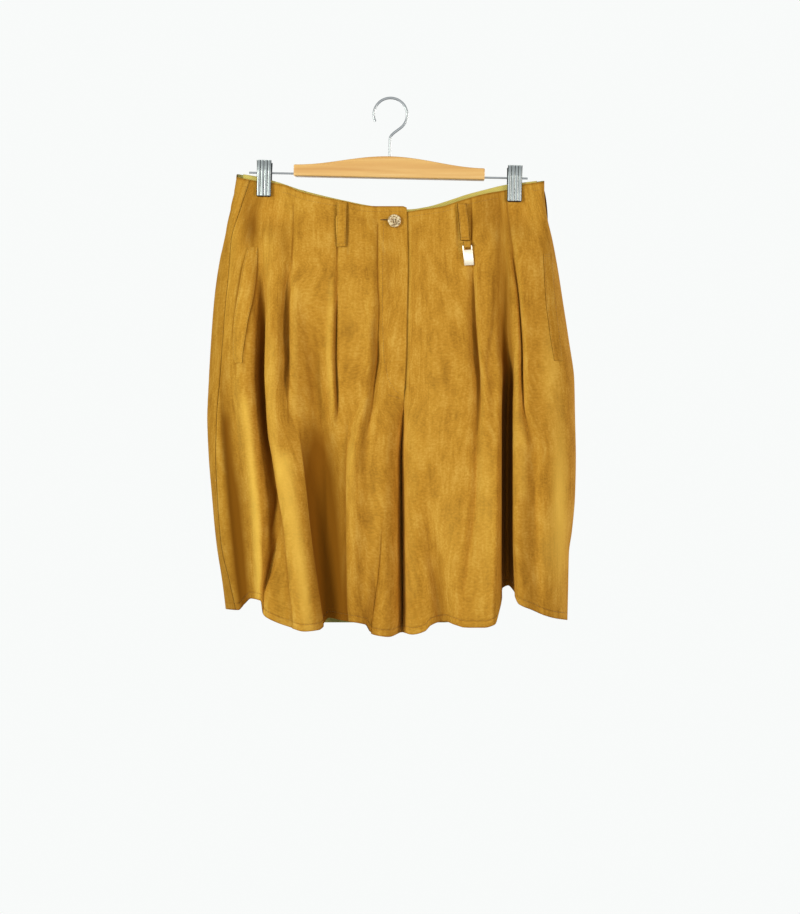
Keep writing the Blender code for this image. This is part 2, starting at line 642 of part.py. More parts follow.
def make_material(name, colour, roughness, metallic=0.0):
    material = bpy.data.materials.new(name)
    material.use_nodes = True
    shader = material.node_tree.nodes["Principled BSDF"]
    shader.inputs["Base Color"].default_value = (*colour, 1.0)
    shader.inputs["Roughness"].default_value = roughness
    shader.inputs["Metallic"].default_value = metallic
    return material


def make_panels(materials):
    suede = materials["suede"]
    return [
        make_panel("front_right", LEVELS, front_right_row, -1, False, False, suede),
        make_panel("front_left", LEVELS, front_left_row, 1, False, True, suede, lapped=True),
        make_panel("back_left", LEVELS, back_left_row, 1, True, False, suede),
        make_panel("back_right", LEVELS, back_right_row, -1, True, True, suede),
    ]


def make_facing(material):
    """Band inside the back waist edge."""
    rows = []
    fine = np.linspace(FACING_FROM, FACING_TO, FINE)
    held = pinch(fine, WAIST_CURVES["back"](fine))
    closer = 1.0 + 10.0 * held * (1.0 - held)
    x = sample(fine[:, None], even_columns(fine[:, None], closer, FACING_COLUMNS))[:, 0]
    inside = -(0.5 * SUEDE + FACING_GAP + 0.5 * FACING_THICK)
    waist = WAIST_CURVES["back"](x)
    for level in FACING_LEVELS:
        drop = edge_drop(level, waist, HEM_LEVEL) + (FACING_BELOW_EDGE if level == 0 else 0.0)
        rows.append(on_cloth(x, drop, np.full(len(x), inside), "back"))
    return cloth_from_points("waist_facing", np.array(rows), lambda row, column: False, FACING_THICK,
                             material)


def make_welt(name, material):
    side = "front_right" if name.endswith("right") else "front_left"
    rows = WELTS[name]
    out = 0.5 * SUEDE + WELT_GAP + 0.5 * WELT_THICK
    top, bottom = rows[0][0], rows[-1][0]
    drops = [top] + [level for level in LEVELS if top < level < bottom] + [bottom]
    return strip_on_cloth(name, curve_through(rows, 1), curve_through(rows, 2), drops,
                          lambda drop: out, 4, WELT_THICK, material, side)


def make_belt_loop(name, material):
    side, top, bottom, left_top, left_bottom, right_top, right_bottom = BELT_LOOPS[name]
    sewn = 0.5 * SUEDE + LOOP_GAP + 0.5 * LOOP_SUEDE

    def out(drop):
        share = (drop - top) / (bottom - top)
        return sewn + LOOP_STANDS_OFF * math.sin(math.pi * share) ** 0.5 if 0.0 < share < 1.0 else sewn

    left = curve_through(((top, left_top), (bottom, left_bottom)))
    right = curve_through(((top, right_top), (bottom, right_bottom)))
    shares = (0.0, 0.06, 0.14, 0.3, 0.5, 0.7, 0.86, 0.94, 1.0)
    drops = [top + share * (bottom - top) for share in shares]
    return strip_on_cloth(name, left, right, drops, out, 3, LOOP_SUEDE, material, side)


def cloth_frame(x, drop, out, turn=0.0):
    """A frame on the front: origin out mm above the panel's middle, -Y outwards, Z up the panel."""
    here = Vector(on_cloth(np.array(x), np.array(drop), np.array(out)))
    inner = Vector(on_cloth(np.array(x), np.array(drop), np.array(0.0)))
    lower = Vector(on_cloth(np.array(x), np.array(drop + 12.0), np.array(0.0)))
    outward = (here - inner).normalized()
    across = (inner - lower).cross(outward).normalized()
    up = outward.cross(across)
    axes = Matrix((across, -outward, up)).transposed().to_4x4()
    return Matrix.Translation(here) @ axes @ Matrix.Rotation(math.radians(turn), 4, "Y")


def new_object(name, data, material, frame=None):
    piece = bpy.data.objects.new(name, data)
    data.materials.append(material)
    if frame is not None:
        piece.matrix_world = frame
    return piece


def box_mesh(name, width, depth, height, middle=(0.0, 0.0, 0.0)):
    bm = bmesh.new()
    bmesh.ops.create_cube(bm, size=1.0)
    bmesh.ops.scale(bm, vec=Vector((width, depth, height)) * MM, verts=bm.verts)
    bmesh.ops.translate(bm, vec=Vector(middle) * MM, verts=bm.verts)
    mesh = bpy.data.meshes.new(name)
    bm.to_mesh(mesh)
    bm.free()
    return mesh


def add_cutter(name, mesh, frame, cutters):
    cutter = bpy.data.objects.new(name, mesh)
    cutter.matrix_world = frame
    cutter.hide_render = True
    cutter.display_type = "WIRE"
    cutters.objects.link(cutter)
    return cutter


def cut(piece, cutter):
    boolean = piece.modifiers.new(cutter.name, "BOOLEAN")
    boolean.operation = "DIFFERENCE"
    boolean.solver = "EXACT"
    boolean.object = cutter


def make_button(material, cutters):
    frame = cloth_frame(BUTTON_X, BUTTON_DROP, 0.5 * SUEDE + LAYER_GAP + 0.1)
    frame = frame @ Matrix.Rotation(math.radians(90.0), 4, "X")     # the button's axis points outwards
    radius = 0.5 * BUTTON_WIDTH
    mesh = bpy.data.meshes.new("button")
    points = [Vector((share * radius, 0.0, height)) * MM for share, height in BUTTON_SIDE]
    edges = [(i, i + 1) for i in range(len(points) - 1)]
    mesh.from_pydata(points, edges, [])
    button = new_object("button", mesh, material, frame)
    turned = button.modifiers.new("turned", "SCREW")
    turned.axis = "Z"
    turned.angle = math.tau
    turned.steps = 20
    turned.render_steps = 20
    turned.use_merge_vertices = True
    turned.merge_threshold = 0.00001
    turned.use_smooth_shade = True
    for k in range(4):
        bm = bmesh.new()
        bmesh.ops.create_cone(bm, cap_ends=True, segments=8, radius1=0.5 * BUTTON_HOLE * MM,
                              radius2=0.5 * BUTTON_HOLE * MM, depth=12.0 * MM)
        hole = bpy.data.meshes.new("button_hole")
        bm.to_mesh(hole)
        bm.free()
        angle = math.radians(45.0 + 90.0 * k + 12.0)
        away = 0.5 * BUTTON_HOLES_APART * math.sqrt(2.0) * MM
        at = Matrix.Translation((away * math.cos(angle), away * math.sin(angle), 0.0))
        cut(button, add_cutter(f"button_hole_{k + 1}", hole, frame @ at, cutters))
    return button


def make_tag(materials, cutters):
    """The metal tag and the folded suede loop that holds its top bar."""
    out = 0.5 * SUEDE + LAYER_GAP + TAG_LOOP_THICK + TAG_LOOP_INSIDE
    frame = cloth_frame(TAG_X, TAG_DROP, out, TAG_TURN)
    upper = 0.5 * TAG_BAR
    height = TAG_LENGTH + upper
    mesh = box_mesh("tag", TAG_WIDTH, TAG_THICK, height, (0.0, 0.0, upper - 0.5 * height))
    tag = new_object("tag", mesh, materials["tag"], frame)
    slot_middle = (0.0, 0.0, -upper - 0.5 * TAG_SLOT_HEIGHT)
    slot = box_mesh("tag_slot", TAG_SLOT_WIDTH, 4.0 * TAG_THICK, TAG_SLOT_HEIGHT, slot_middle)
    cut(tag, add_cutter("tag_slot", slot, frame, cutters))

    radius = TAG_LOOP_INSIDE + 0.5 * TAG_LOOP_THICK
    path = [(radius, TAG_LOOP_RISES), (radius, 0.5 * TAG_LOOP_RISES)]
    path += [(radius * math.cos(a), -radius * math.sin(a)) for a in np.linspace(0.0, math.pi, 9)]
    path += [(-radius, 0.5 * TAG_LOOP_RISES), (-radius, TAG_LOOP_RISES)]
    half = 0.5 * TAG_LOOP_WIDTH
    points = np.array([[(x, y, z) for x in (-half, half)] for y, z in path]) * MM
    loop = cloth_from_points("tag_loop", points, lambda row, column: False, TAG_LOOP_THICK,
                             materials["suede"])
    loop.matrix_world = frame
    return [tag, loop]


def make_hook(material):
    """Round wire: a hook whose inside top is the origin, bent into a straight stem."""
    radius = 0.5 * (HOOK_INSIDE + HOOK_WIRE)
    middle = -0.5 * HOOK_INSIDE
    angles = np.radians(np.linspace(HOOK_TIP, HOOK_LEAVES, 17))
    points = [Vector((radius * math.cos(a), 0.0, middle + radius * math.sin(a))) for a in angles]
    last = angles[-1]
    heading = Vector((math.sin(last), 0.0, -math.cos(last)))
    stem = Vector((0.0, 0.0, STEM_STARTS))
    a, b, c, d = points[-1], points[-1] + heading * 9.0, stem + Vector((0.0, 0.0, 6.0)), stem
    for t in (0.2, 0.4, 0.6, 0.8, 1.0):
        u = 1.0 - t
        points.append(a * u ** 3 + b * 3 * u * u * t + c * 3 * u * t * t + d * t ** 3)
    points.append(Vector((0.0, 0.0, -BAR_UNDERSIDE + BAR_HEIGHT + FIT)))
    return wire("hanger_hook", points, HOOK_WIRE, material)


def wire(name, points, width, material):
    curve = bpy.data.curves.new(name, "CURVE")
    curve.dimensions = "3D"
    curve.bevel_depth = 0.5 * width * MM
    curve.bevel_resolution = 2
    curve.use_fill_caps = True
    spline = curve.splines.new("POLY")
    spline.points.add(len(points) - 1)
    for point, place_at in zip(spline.points, points):
        point.co = (*(Vector(place_at) * MM), 1.0)
    return new_object(name, curve, material)


def make_bar(material):
    """Wooden bar: flat below, gently arched above, edges rounded."""
    half = 0.5 * BAR_LENGTH - BAR_ROUNDING
    outline = [(-half, BAR_ROUNDING), (half, BAR_ROUNDING)]
    for x in np.linspace(half, -half, 13):
        arch = math.cos(0.5 * math.pi * x / half) ** 2
        outline.append((x, BAR_END_HEIGHT + (BAR_HEIGHT - BAR_END_HEIGHT) * arch - BAR_ROUNDING))
    curve = bpy.data.curves.new("hanger_bar", "CURVE")
    curve.dimensions = "2D"
    curve.fill_mode = "BOTH"
    curve.extrude = (0.5 * BAR_DEPTH - BAR_ROUNDING) * MM
    curve.bevel_depth = BAR_ROUNDING * MM
    curve.bevel_resolution = 1
    spline = curve.splines.new("POLY")
    spline.points.add(len(outline) - 1)
    for point, (x, z) in zip(spline.points, outline):
        point.co = (x * MM, z * MM, 0.0, 1.0)
    spline.use_cyclic_u = True
    bar = new_object("hanger_bar", curve, material)
    bar.rotation_euler = (math.radians(90.0), 0.0, 0.0)
    bar.location = (0.0, 0.0, -BAR_UNDERSIDE * MM)
    return bar


def make_rods(material):
    level = -BAR_UNDERSIDE + ROD_ABOVE_UNDERSIDE
    inner = 0.5 * BAR_LENGTH + FIT
    return [
        wire("hanger_rod_right", [(-inner, 0, level), (-ROD_END_RIGHT, 0, level)], ROD, material),
        wire("hanger_rod_left", [(inner, 0, level), (ROD_END_LEFT, 0, level)], ROD, material),
    ]


def clip_plate(name, facing, middle, material):
    """A fluted spring plate of a clip; facing is -1 in front and 1 behind."""
    side = curve_through(CLIP_SIDE)
    columns = 3 * CLIP_FLUTES + 1
    rows = []
    for height in CLIP_ROWS:
        row = []
        for k in range(columns):
            x = (k / (columns - 1) - 0.5) * CLIP_WIDTH
            flute = abs(math.sin(math.pi * CLIP_FLUTES * k / (columns - 1)))
            y = facing * (float(side(height)) + CLIP_FLUTE_DEPTH * flute)
            row.append((x + middle.x, y + middle.y, height + middle.z))
        rows.append(row)
    return cloth_from_points(name, np.array(rows) * MM, lambda row, column: False, CLIP_SHEET, material)


def make_clip(side_name, cloth_x, materials):
    level = -BAR_UNDERSIDE + ROD_ABOVE_UNDERSIDE
    middle = Vector((cloth_x - HANGER_X, 0.0, level))
    pad_y = PINCHED + 0.5 * SUEDE + LAYER_GAP + 0.5 * PAD_THICK
    pad_z = CLIP_SIDE[0][0] - PAD_BELOW + 0.5 * PAD_HEIGHT
    pieces = []
    for part, facing in (("front", -1), ("back", 1)):
        pieces.append(clip_plate(f"clip_{side_name}_{part}", facing, middle, materials["clip"]))
        at = middle + Vector((0.0, facing * pad_y, pad_z))
        pad = box_mesh(f"clip_{side_name}_{part}_pad", CLIP_WIDTH - 1.0, PAD_THICK, PAD_HEIGHT, at)
        pieces.append(new_object(f"clip_{side_name}_{part}_pad", pad, materials["rubber"]))
    bm = bmesh.new()
    for radius in (SLEEVE, 0.5 * ROD + FIT):
        bmesh.ops.create_circle(bm, cap_ends=False, segments=14, radius=radius * MM)
    bmesh.ops.bridge_loops(bm, edges=bm.edges[:])
    ring = bmesh.ops.extrude_face_region(bm, geom=bm.faces[:])
    moved = [item for item in ring["geom"] if isinstance(item, bmesh.types.BMVert)]
    bmesh.ops.translate(bm, vec=(0.0, 0.0, SLEEVE_LENGTH * MM), verts=moved)
    bmesh.ops.recalc_face_normals(bm, faces=bm.faces)
    turn = Matrix.Translation((middle - Vector((0.5 * SLEEVE_LENGTH, 0.0, 0.0))) * MM)
    bmesh.ops.transform(bm, matrix=turn @ Matrix.Rotation(math.radians(90.0), 4, "Y"), verts=bm.verts)
    mesh = bpy.data.meshes.new(f"clip_{side_name}_sleeve")
    bm.to_mesh(mesh)
    bm.free()
    pieces.append(new_object(f"clip_{side_name}_sleeve", mesh, materials["clip"]))
    return pieces


def main():
    for old in list(bpy.data.objects):
        bpy.data.objects.remove(old, do_unlink=True)
    garment = bpy.data.collections.new("suede_shorts")
    cutters = bpy.data.collections.new("cutters")
    bpy.context.scene.collection.children.link(garment)
    bpy.context.scene.collection.children.link(cutters)
    materials = {
        "suede": make_material("suede", (0.52, 0.29, 0.035), 0.95),
        "facing": make_material("facing_tape", (0.60, 0.52, 0.12), 0.9),
        "button": make_material("horn_button", (0.30, 0.22, 0.12), 0.35),
        "tag": make_material("polished_tag", (0.85, 0.82, 0.78), 0.2, 1.0),
        "wood": make_material("hanger_wood", (0.80, 0.50, 0.22), 0.55),
        "wire": make_material("hanger_wire", (0.55, 0.55, 0.56), 0.3, 1.0),
        "clip": make_material("clip_steel", (0.60, 0.62, 0.64), 0.28, 1.0),
        "rubber": make_material("clip_rubber", (0.03, 0.03, 0.03), 0.7),
    }
    pieces = make_panels(materials)
    pieces.append(make_facing(materials["facing"]))
    pieces += [make_welt(name, materials["suede"]) for name in WELTS]
    pieces += [make_belt_loop(name, materials["suede"]) for name in BELT_LOOPS]
    pieces.append(make_button(materials["button"], cutters))
    pieces += make_tag(materials, cutters)

    tilt = bpy.data.objects.new("hanger", None)
    tilt.rotation_euler = (0.0, math.radians(HANGER_TILT), 0.0)
    garment.objects.link(tilt)
    hanger = [make_hook(materials["wire"]), make_bar(materials["wood"])]
    hanger += make_rods(materials["wire"])
    for side_name, cloth_x in CLIPS:
        hanger += make_clip(side_name, cloth_x, materials)
    for piece in hanger:
        piece.parent = tilt
    for piece in pieces + hanger:
        garment.objects.link(piece)


main()
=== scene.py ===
# Golden suede shorts with deep pleats, hung by two fluted clips from a wooden hanger.
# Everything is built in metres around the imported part, which stays as it is.
import math

import bmesh
import bpy
import numpy as np
from mathutils import Matrix, Vector


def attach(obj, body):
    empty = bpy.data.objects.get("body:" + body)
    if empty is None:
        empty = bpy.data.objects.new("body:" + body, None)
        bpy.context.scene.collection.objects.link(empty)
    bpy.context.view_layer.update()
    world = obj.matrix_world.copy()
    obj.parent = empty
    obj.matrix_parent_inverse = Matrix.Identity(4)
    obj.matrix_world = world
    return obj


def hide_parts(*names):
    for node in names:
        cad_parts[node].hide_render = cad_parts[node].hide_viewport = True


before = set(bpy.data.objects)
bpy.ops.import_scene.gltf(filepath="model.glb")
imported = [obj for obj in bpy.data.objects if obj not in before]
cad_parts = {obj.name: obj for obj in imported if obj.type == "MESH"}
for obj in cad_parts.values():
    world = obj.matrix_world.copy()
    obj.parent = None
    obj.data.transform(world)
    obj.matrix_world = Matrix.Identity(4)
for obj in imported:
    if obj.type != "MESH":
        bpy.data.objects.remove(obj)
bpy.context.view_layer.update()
print("frame loaded:", len(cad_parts), "nodes")

mm = 0.001

# The cloth tables are in millimetres as seen straight from the front:
# x runs across from the line of the fly, drop runs down from the hanger bar's under side.
hang = {
    "viewDistance": 1900.0,    # viewer to the hanger's plane
    "viewHeight": 362.0,       # drop of the viewer's eyes
    "hangerX": -12.0,          # the hook hangs beside the fly's line
    "barUnderside": 103.0,     # below the hook's inside top
    "tilt": 1.2,               # degrees, the bar dips on the wearer's left
    "clips": (-174.0, 151.0),  # x of the two clips
}
cloth = {
    "suede": 1.4,
    "seamGap": 0.4,
    "pinched": 1.95,           # middle of a panel to the hanger's plane, in a clip
    "pinchedSides": 1.6,       # how soon the cloth is that flat, in from its side
    "heldWidth": 11.0,         # half width and lower end of what a clip presses flat
    "heldDrop": 42.0,
    "heldFade": 30.0,
    "hemLevel": 580.0,
    "edgeReach": 150.0,        # the rows follow the waist and the hem over this
    "waistFade": 1.3,
    "crotch": 312.0,
    "inseamTop": 326.0,        # the cloth between the legs sags to here
    "sagRound": 1.5,
    "flyEnd": 270.0,           # the lower end of the stitched fly
    "flyEndFade": 14.0,
    "flyStepAt": 5.0,          # the left front steps back under the right one's edge
    "flyStepIn": 4.5,
    "flyApart": 0.55,          # air between the two
    "underlap": 25.0,          # how far the left front reaches behind the right one
    "underStart": 0.6,         # the underlap turns inwards here, beside the fly's line
    "leftLegIn": 0.2,          # the left leg's edge lies this far beyond the gap's
    "inseamY": 3.0,            # depth of the inner legs' seams
    "inseamApart": 1.6,        # each leg's inner side from the gap's middle, at the hem
    "inseamSway": 8.0,         # both inner sides swing this far across
    "inseamSwayIn": 1.0 / 6.0,    # over this share of a leg
    "seatSeamAside": 1.8,      # the seat's seam beside the fly's line
    "seatSeamTurns": 288.0,    # from here it runs back to that line at the crotch
    "leftSeamIn": 9.0,         # the left side seam lies this far round to the back
    "legRounding": 26.0,
}
# drop, outermost x on the image's left and right, x of the side seam that shows on the left
outline = (
    (-6, -211, 187, -193), (16, -214, 187, -200), (39, -219, 189, -207), (81, -228, 198, -219),
    (120, -236, 205, -222), (159, -241, 211, -226), (211, -245, 219, -230), (263, -248, 226, -234),
    (312, -250, 227, -238), (362, -248, 228, -239), (411, -244, 227, -237), (458, -240, 223, -234),
    (489, -237, 219, -231), (536, -231, 218, -222), (580, -226, 217, -213),
)
# drop, half depth of the front and of the back, width of the rounded side
fullness = (
    (0, 20, 15, 16), (60, 27, 22, 30), (120, 35, 28, 44), (200, 44, 35, 58),
    (312, 52, 42, 68), (450, 60, 48, 74), (600, 66, 52, 76),
)
# drop, x of the fly edge and of the gap between the legs, half that gap, how full the cloth is there
centre = (
    (0, 9, 0.2, 1.0), (115, 10.5, 0.2, 1.0), (158, 9.5, 0.2, 1.0), (224, 8.5, 0.2, 1.0),
    (270, 6.5, 0.2, 1.0), (284, 5.6, 0.22, 0.98), (312, 4, 0.25, 0.62), (330, 3, 0.7, 0.5),
    (362, 1.5, 1.2, 0.4),
    (459, 2, 1.8, 0.35), (558, 3, 1.3, 0.35), (600, 2, 1.1, 0.35),
)
# edges of the cloth: x, drop
waist = {
    "frontRight": (
        (-213, -2), (-194, 2), (-179, 4), (-163, 6), (-148, 9), (-132, 16), (-101, 24),
        (-70, 30), (-46, 35), (-28, 36), (3, 36), (9, 38)),
    "frontLeft": (
        (-19, 44), (11, 43), (24, 41), (54, 36.5), (73, 30.5), (94, 24), (114, 19), (140, 14.5),
        (164, 7), (180, 5), (187, 4)),
    "back": (
        (-213, -6), (-207, -5), (-184, -1), (-162, 5), (-132, 15), (-101, 23), (-70, 30), (-46, 35),
        (-19, 39), (11, 41), (34, 38), (62, 30), (86, 22), (114, 15), (140, 9), (164, 6), (187, 3)),
}
hem = {
    "frontRight": (
        (-231, 559), (-210, 561), (-202, 553), (-194, 546), (-181, 549), (-178, 566), (-163, 576),
        (-140, 584), (-124, 589), (-109, 587), (-101, 580), (-93, 571), (-77, 574), (-46, 580),
        (-41, 589), (-31, 594), (-15, 596), (0, 590)),
    "frontLeft": (
        (5, 590), (16, 593), (32, 589), (40, 581), (49, 577), (60, 576), (71, 580), (86, 584),
        (110, 584), (122, 580), (128, 557), (133, 532), (141, 529), (149, 537), (157, 554),
        (172, 561), (188, 568), (203, 572), (218, 574)),
    "back": (
        (-231, 559), (-207, 549), (-194, 540), (-171, 555), (-142, 570), (-97, 577), (-25, 577),
        (40, 577), (57, 577), (85, 570), (111, 548), (131, 524), (150, 522), (176, 535), (202, 557),
        (218, 572)),
}
# a row for each station down a fold: drop, x, deep (a ridge is negative), reach left, reach right
frontFolds = {
    "sideValley": (
        (198, -227, 0, 8, 12), (250, -228, 7, 8, 12), (341, -223, 14, 9, 14),
        (420, -214, 15, 11, 18), (497, -206, 15, 11, 16), (581, -196, 14, 10, 10)),
    "sideRidge": (
        (224, -207, -1, 7, 10), (269, -208, -5, 7, 12), (343, -201, -7, 8, 13),
        (450, -188, -7, 7, 12), (546, -182, -6, 6, 6), (581, -183, -6, 6, 5)),
    "clipDent": (
        (11, -181, 0, 6, 6), (29, -184, 6, 7, 6), (47, -189, 9, 8, 6), (70, -191, 7, 8, 7),
        (96, -195, 0, 8, 8)),
    "pocketTrough": (
        (81, -182, 1, 9, 6), (120, -180, 6, 10, 6), (147, -177, 11, 12, 5), (202, -175, 21, 12, 4),
        (256, -176, 28, 11, 4), (289, -174, 28, 11, 4), (328, -171, 24, 11, 4.5),
        (362, -166, 20, 12, 5), (401, -161, 16, 12, 5), (438, -158, 10, 11, 5),
        (477, -161, 8, 9, 5), (510, -168, 7, 8, 4), (538, -177, 7, 6, 4), (575, -179, 9, 5, 4)),
    "secondLobe": (
        (146, -161, -2, 10, 12), (211, -162, -5, 10, 12), (328, -155, -6, 12, 15),
        (445, -141, -10, 13, 17), (549, -128, -14, 18, 17), (588, -125, -14, 20, 16)),
    "outerPleat": (
        (35, -138, 0.6, 5, 3), (106, -140, 2, 6, 3), (122, -143, 4, 7, 3), (158, -144, 7, 9, 3),
        (202, -144, 9, 10, 3), (234, -142, 9, 10, 3), (258, -144, 7, 10, 3), (285, -146, 3, 9, 4),
        (308, -148, 0, 8, 4)),
    "outerPleatEdge": (
        (120, -140, 0, 3, 7), (198, -138, -2, 3, 8), (263, -138, -2, 4, 9), (302, -141, -1, 5, 9),
        (341, -142, 0, 5, 9)),
    "wideTrough": (
        (159, -116, 0, 12, 12), (211, -112, 4, 13, 10), (263, -106, 8, 16, 10),
        (302, -103, 10, 18, 14), (341, -99, 13, 24, 20), (420, -97, 16, 26, 24),
        (497, -92, 17, 24, 21), (575, -86, 17, 19, 18)),
    "middlePleat": (
        (35, -82, 0.8, 4, 3), (94, -82, 1.5, 4, 3), (122, -82, 2.5, 4, 3.5), (150, -82, 4, 4, 4),
        (193, -84, 6, 4, 4), (234, -86, 7, 4, 4), (269, -84, 6, 4, 4), (289, -83, 4, 4, 4),
        (321, -81, 0, 4, 4)),
    "middlePleatEdge": (
        (172, -90, 0, 5, 4), (237, -91, -4, 6, 4), (321, -86, -2, 6, 6), (354, -80, 0, 6, 6)),
    "innerPleat": (
        (44, -29, 0.8, 4, 3), (107, -29, 1.2, 4, 3), (159, -27, 3, 6, 4), (178, -28, 5, 7, 4.5),
        (202, -30, 8, 8, 5), (230, -29, 10, 8, 5), (267, -34, 9, 9, 6), (295, -36, 6, 9, 6),
        (329, -43, 4, 8, 6), (373, -46, 1.5, 8, 6), (406, -47, 0, 8, 6)),
    "thirdLobeEdge": (
        (269, -38, -2, 5, 12), (329, -54, -6, 5, 16), (420, -63, -9, 5, 20), (541, -62, -9, 5, 20),
        (588, -58, -9, 6, 18)),
    "innerLegFold": (
        (458, -25, 0, 6, 4), (494, -28, 3, 6, 4), (544, -34, 6, 7, 3.5), (577, -40, 8, 8, 3.5)),
    "leftLegFold": (
        (411, 34, 0, 6, 10), (472, 40, 4, 6, 12), (516, 46, 8, 7, 14), (577, 53, 11, 7, 13)),
    "loopPleat": (
        (87, 92, 1, 5, 3.5), (109, 95, 2, 6, 3.5), (158, 98, 5, 8, 3.5), (202, 101, 8, 9, 3.5),
        (234, 103, 9, 9, 3.5), (267, 106, 8, 9, 4), (302, 104, 6, 8, 4), (337, 101, 4, 7, 4),
        (411, 99, 3, 6, 5), (450, 95, 3, 6, 5), (499, 89, 2, 6, 6), (538, 85, 0, 6, 6)),
    "shoulderLine": (
        (100, 124, 0, 3, 5), (169, 123, 2, 3, 6), (245, 116, 3, 3, 6), (269, 120, 2, 3, 5),
        (328, 120, 0, 3, 5)),
    "deepTrough": (
        (60, 135, 1, 7, 4), (115, 136, 4, 10, 5), (180, 138, 10, 12, 6), (224, 140, 16, 11, 6),
        (252, 142, 24, 9, 7), (276, 141, 34, 8.5, 8), (312, 140, 42, 8.5, 8),
        (386, 139, 46, 8.5, 8.5), (459, 139, 46, 8.5, 8.5), (536, 140, 42, 10, 9),
        (568, 141, 40, 10, 9)),
    "sidePleat": (
        (33, 139, 0.8, 4, 3), (60, 142, 1.5, 4, 3), (89, 146, 2.5, 4, 4), (119, 151, 5, 4, 4),
        (163, 157, 9, 4, 4), (245, 161, 11, 4, 4), (294, 161, 6, 4, 5), (354, 173, 4, 7, 8),
        (562, 175, 3, 8, 9)),
    "fifthLobeEdge": (
        (276, 123, -1, 14, 4), (393, 123, -4, 16, 4), (562, 118, -7, 18, 5)),
    "sixthLobeEdge": (
        (282, 154, -2, 4, 10), (393, 153, -4, 4, 12), (562, 159, -6, 4, 14)),
}
backFolds = {
    "rightDart": ((15, -128, 0.5, 4, 4), (95, -122, 1.5, 4, 4), (120, -120, 0, 4, 4)),
    "rightInnerDart": (
        (30, -72, 0.4, 4, 4), (85, -69, 0.5, 4, 4), (105, -68, 1.5, 4, 4), (130, -66, 0, 4, 4)),
    "leftInnerDart": (
        (30, 70, 0.4, 4, 4), (85, 67, 0.5, 4, 4), (105, 66, 1.5, 4, 4), (130, 64, 0, 4, 4)),
    "leftDart": ((10, 128, 0.4, 4, 4), (95, 122, 1.5, 4, 4), (120, 120, 0, 4, 4)),
    "rightSideTrough": (
        (210, -196, 0, 12, 14), (320, -190, 9, 13, 12), (450, -192, 14, 13, 10),
        (590, -194, 15, 12, 10)),
    "rightOuterLobe": ((180, -165, 0, 14, 16), (400, -160, -6, 16, 18), (590, -152, -9, 18, 20)),
    "rightMiddleTrough": (
        (250, -112, 0, 10, 14), (380, -108, 9, 12, 16), (500, -104, 15, 12, 18),
        (590, -100, 17, 11, 18)),
    "rightInnerLobe": ((240, -62, 0, 16, 14), (420, -58, -6, 18, 16), (590, -52, -8, 18, 16)),
    "leftInnerTrough": ((260, 40, 0, 8, 12), (400, 44, 6, 9, 14), (590, 50, 11, 9, 15)),
    "leftMiddleLobe": ((200, 84, 0, 16, 12), (420, 88, -6, 18, 12), (590, 92, -8, 18, 12)),
    "leftOuterTrough": (
        (190, 138, 0, 12, 14), (320, 136, 10, 14, 15), (450, 134, 17, 14, 14),
        (590, 136, 20, 13, 13)),
    "leftSideLobe": ((220, 178, 0, 12, 12), (430, 180, -4, 12, 12), (590, 178, -5, 12, 12)),
}
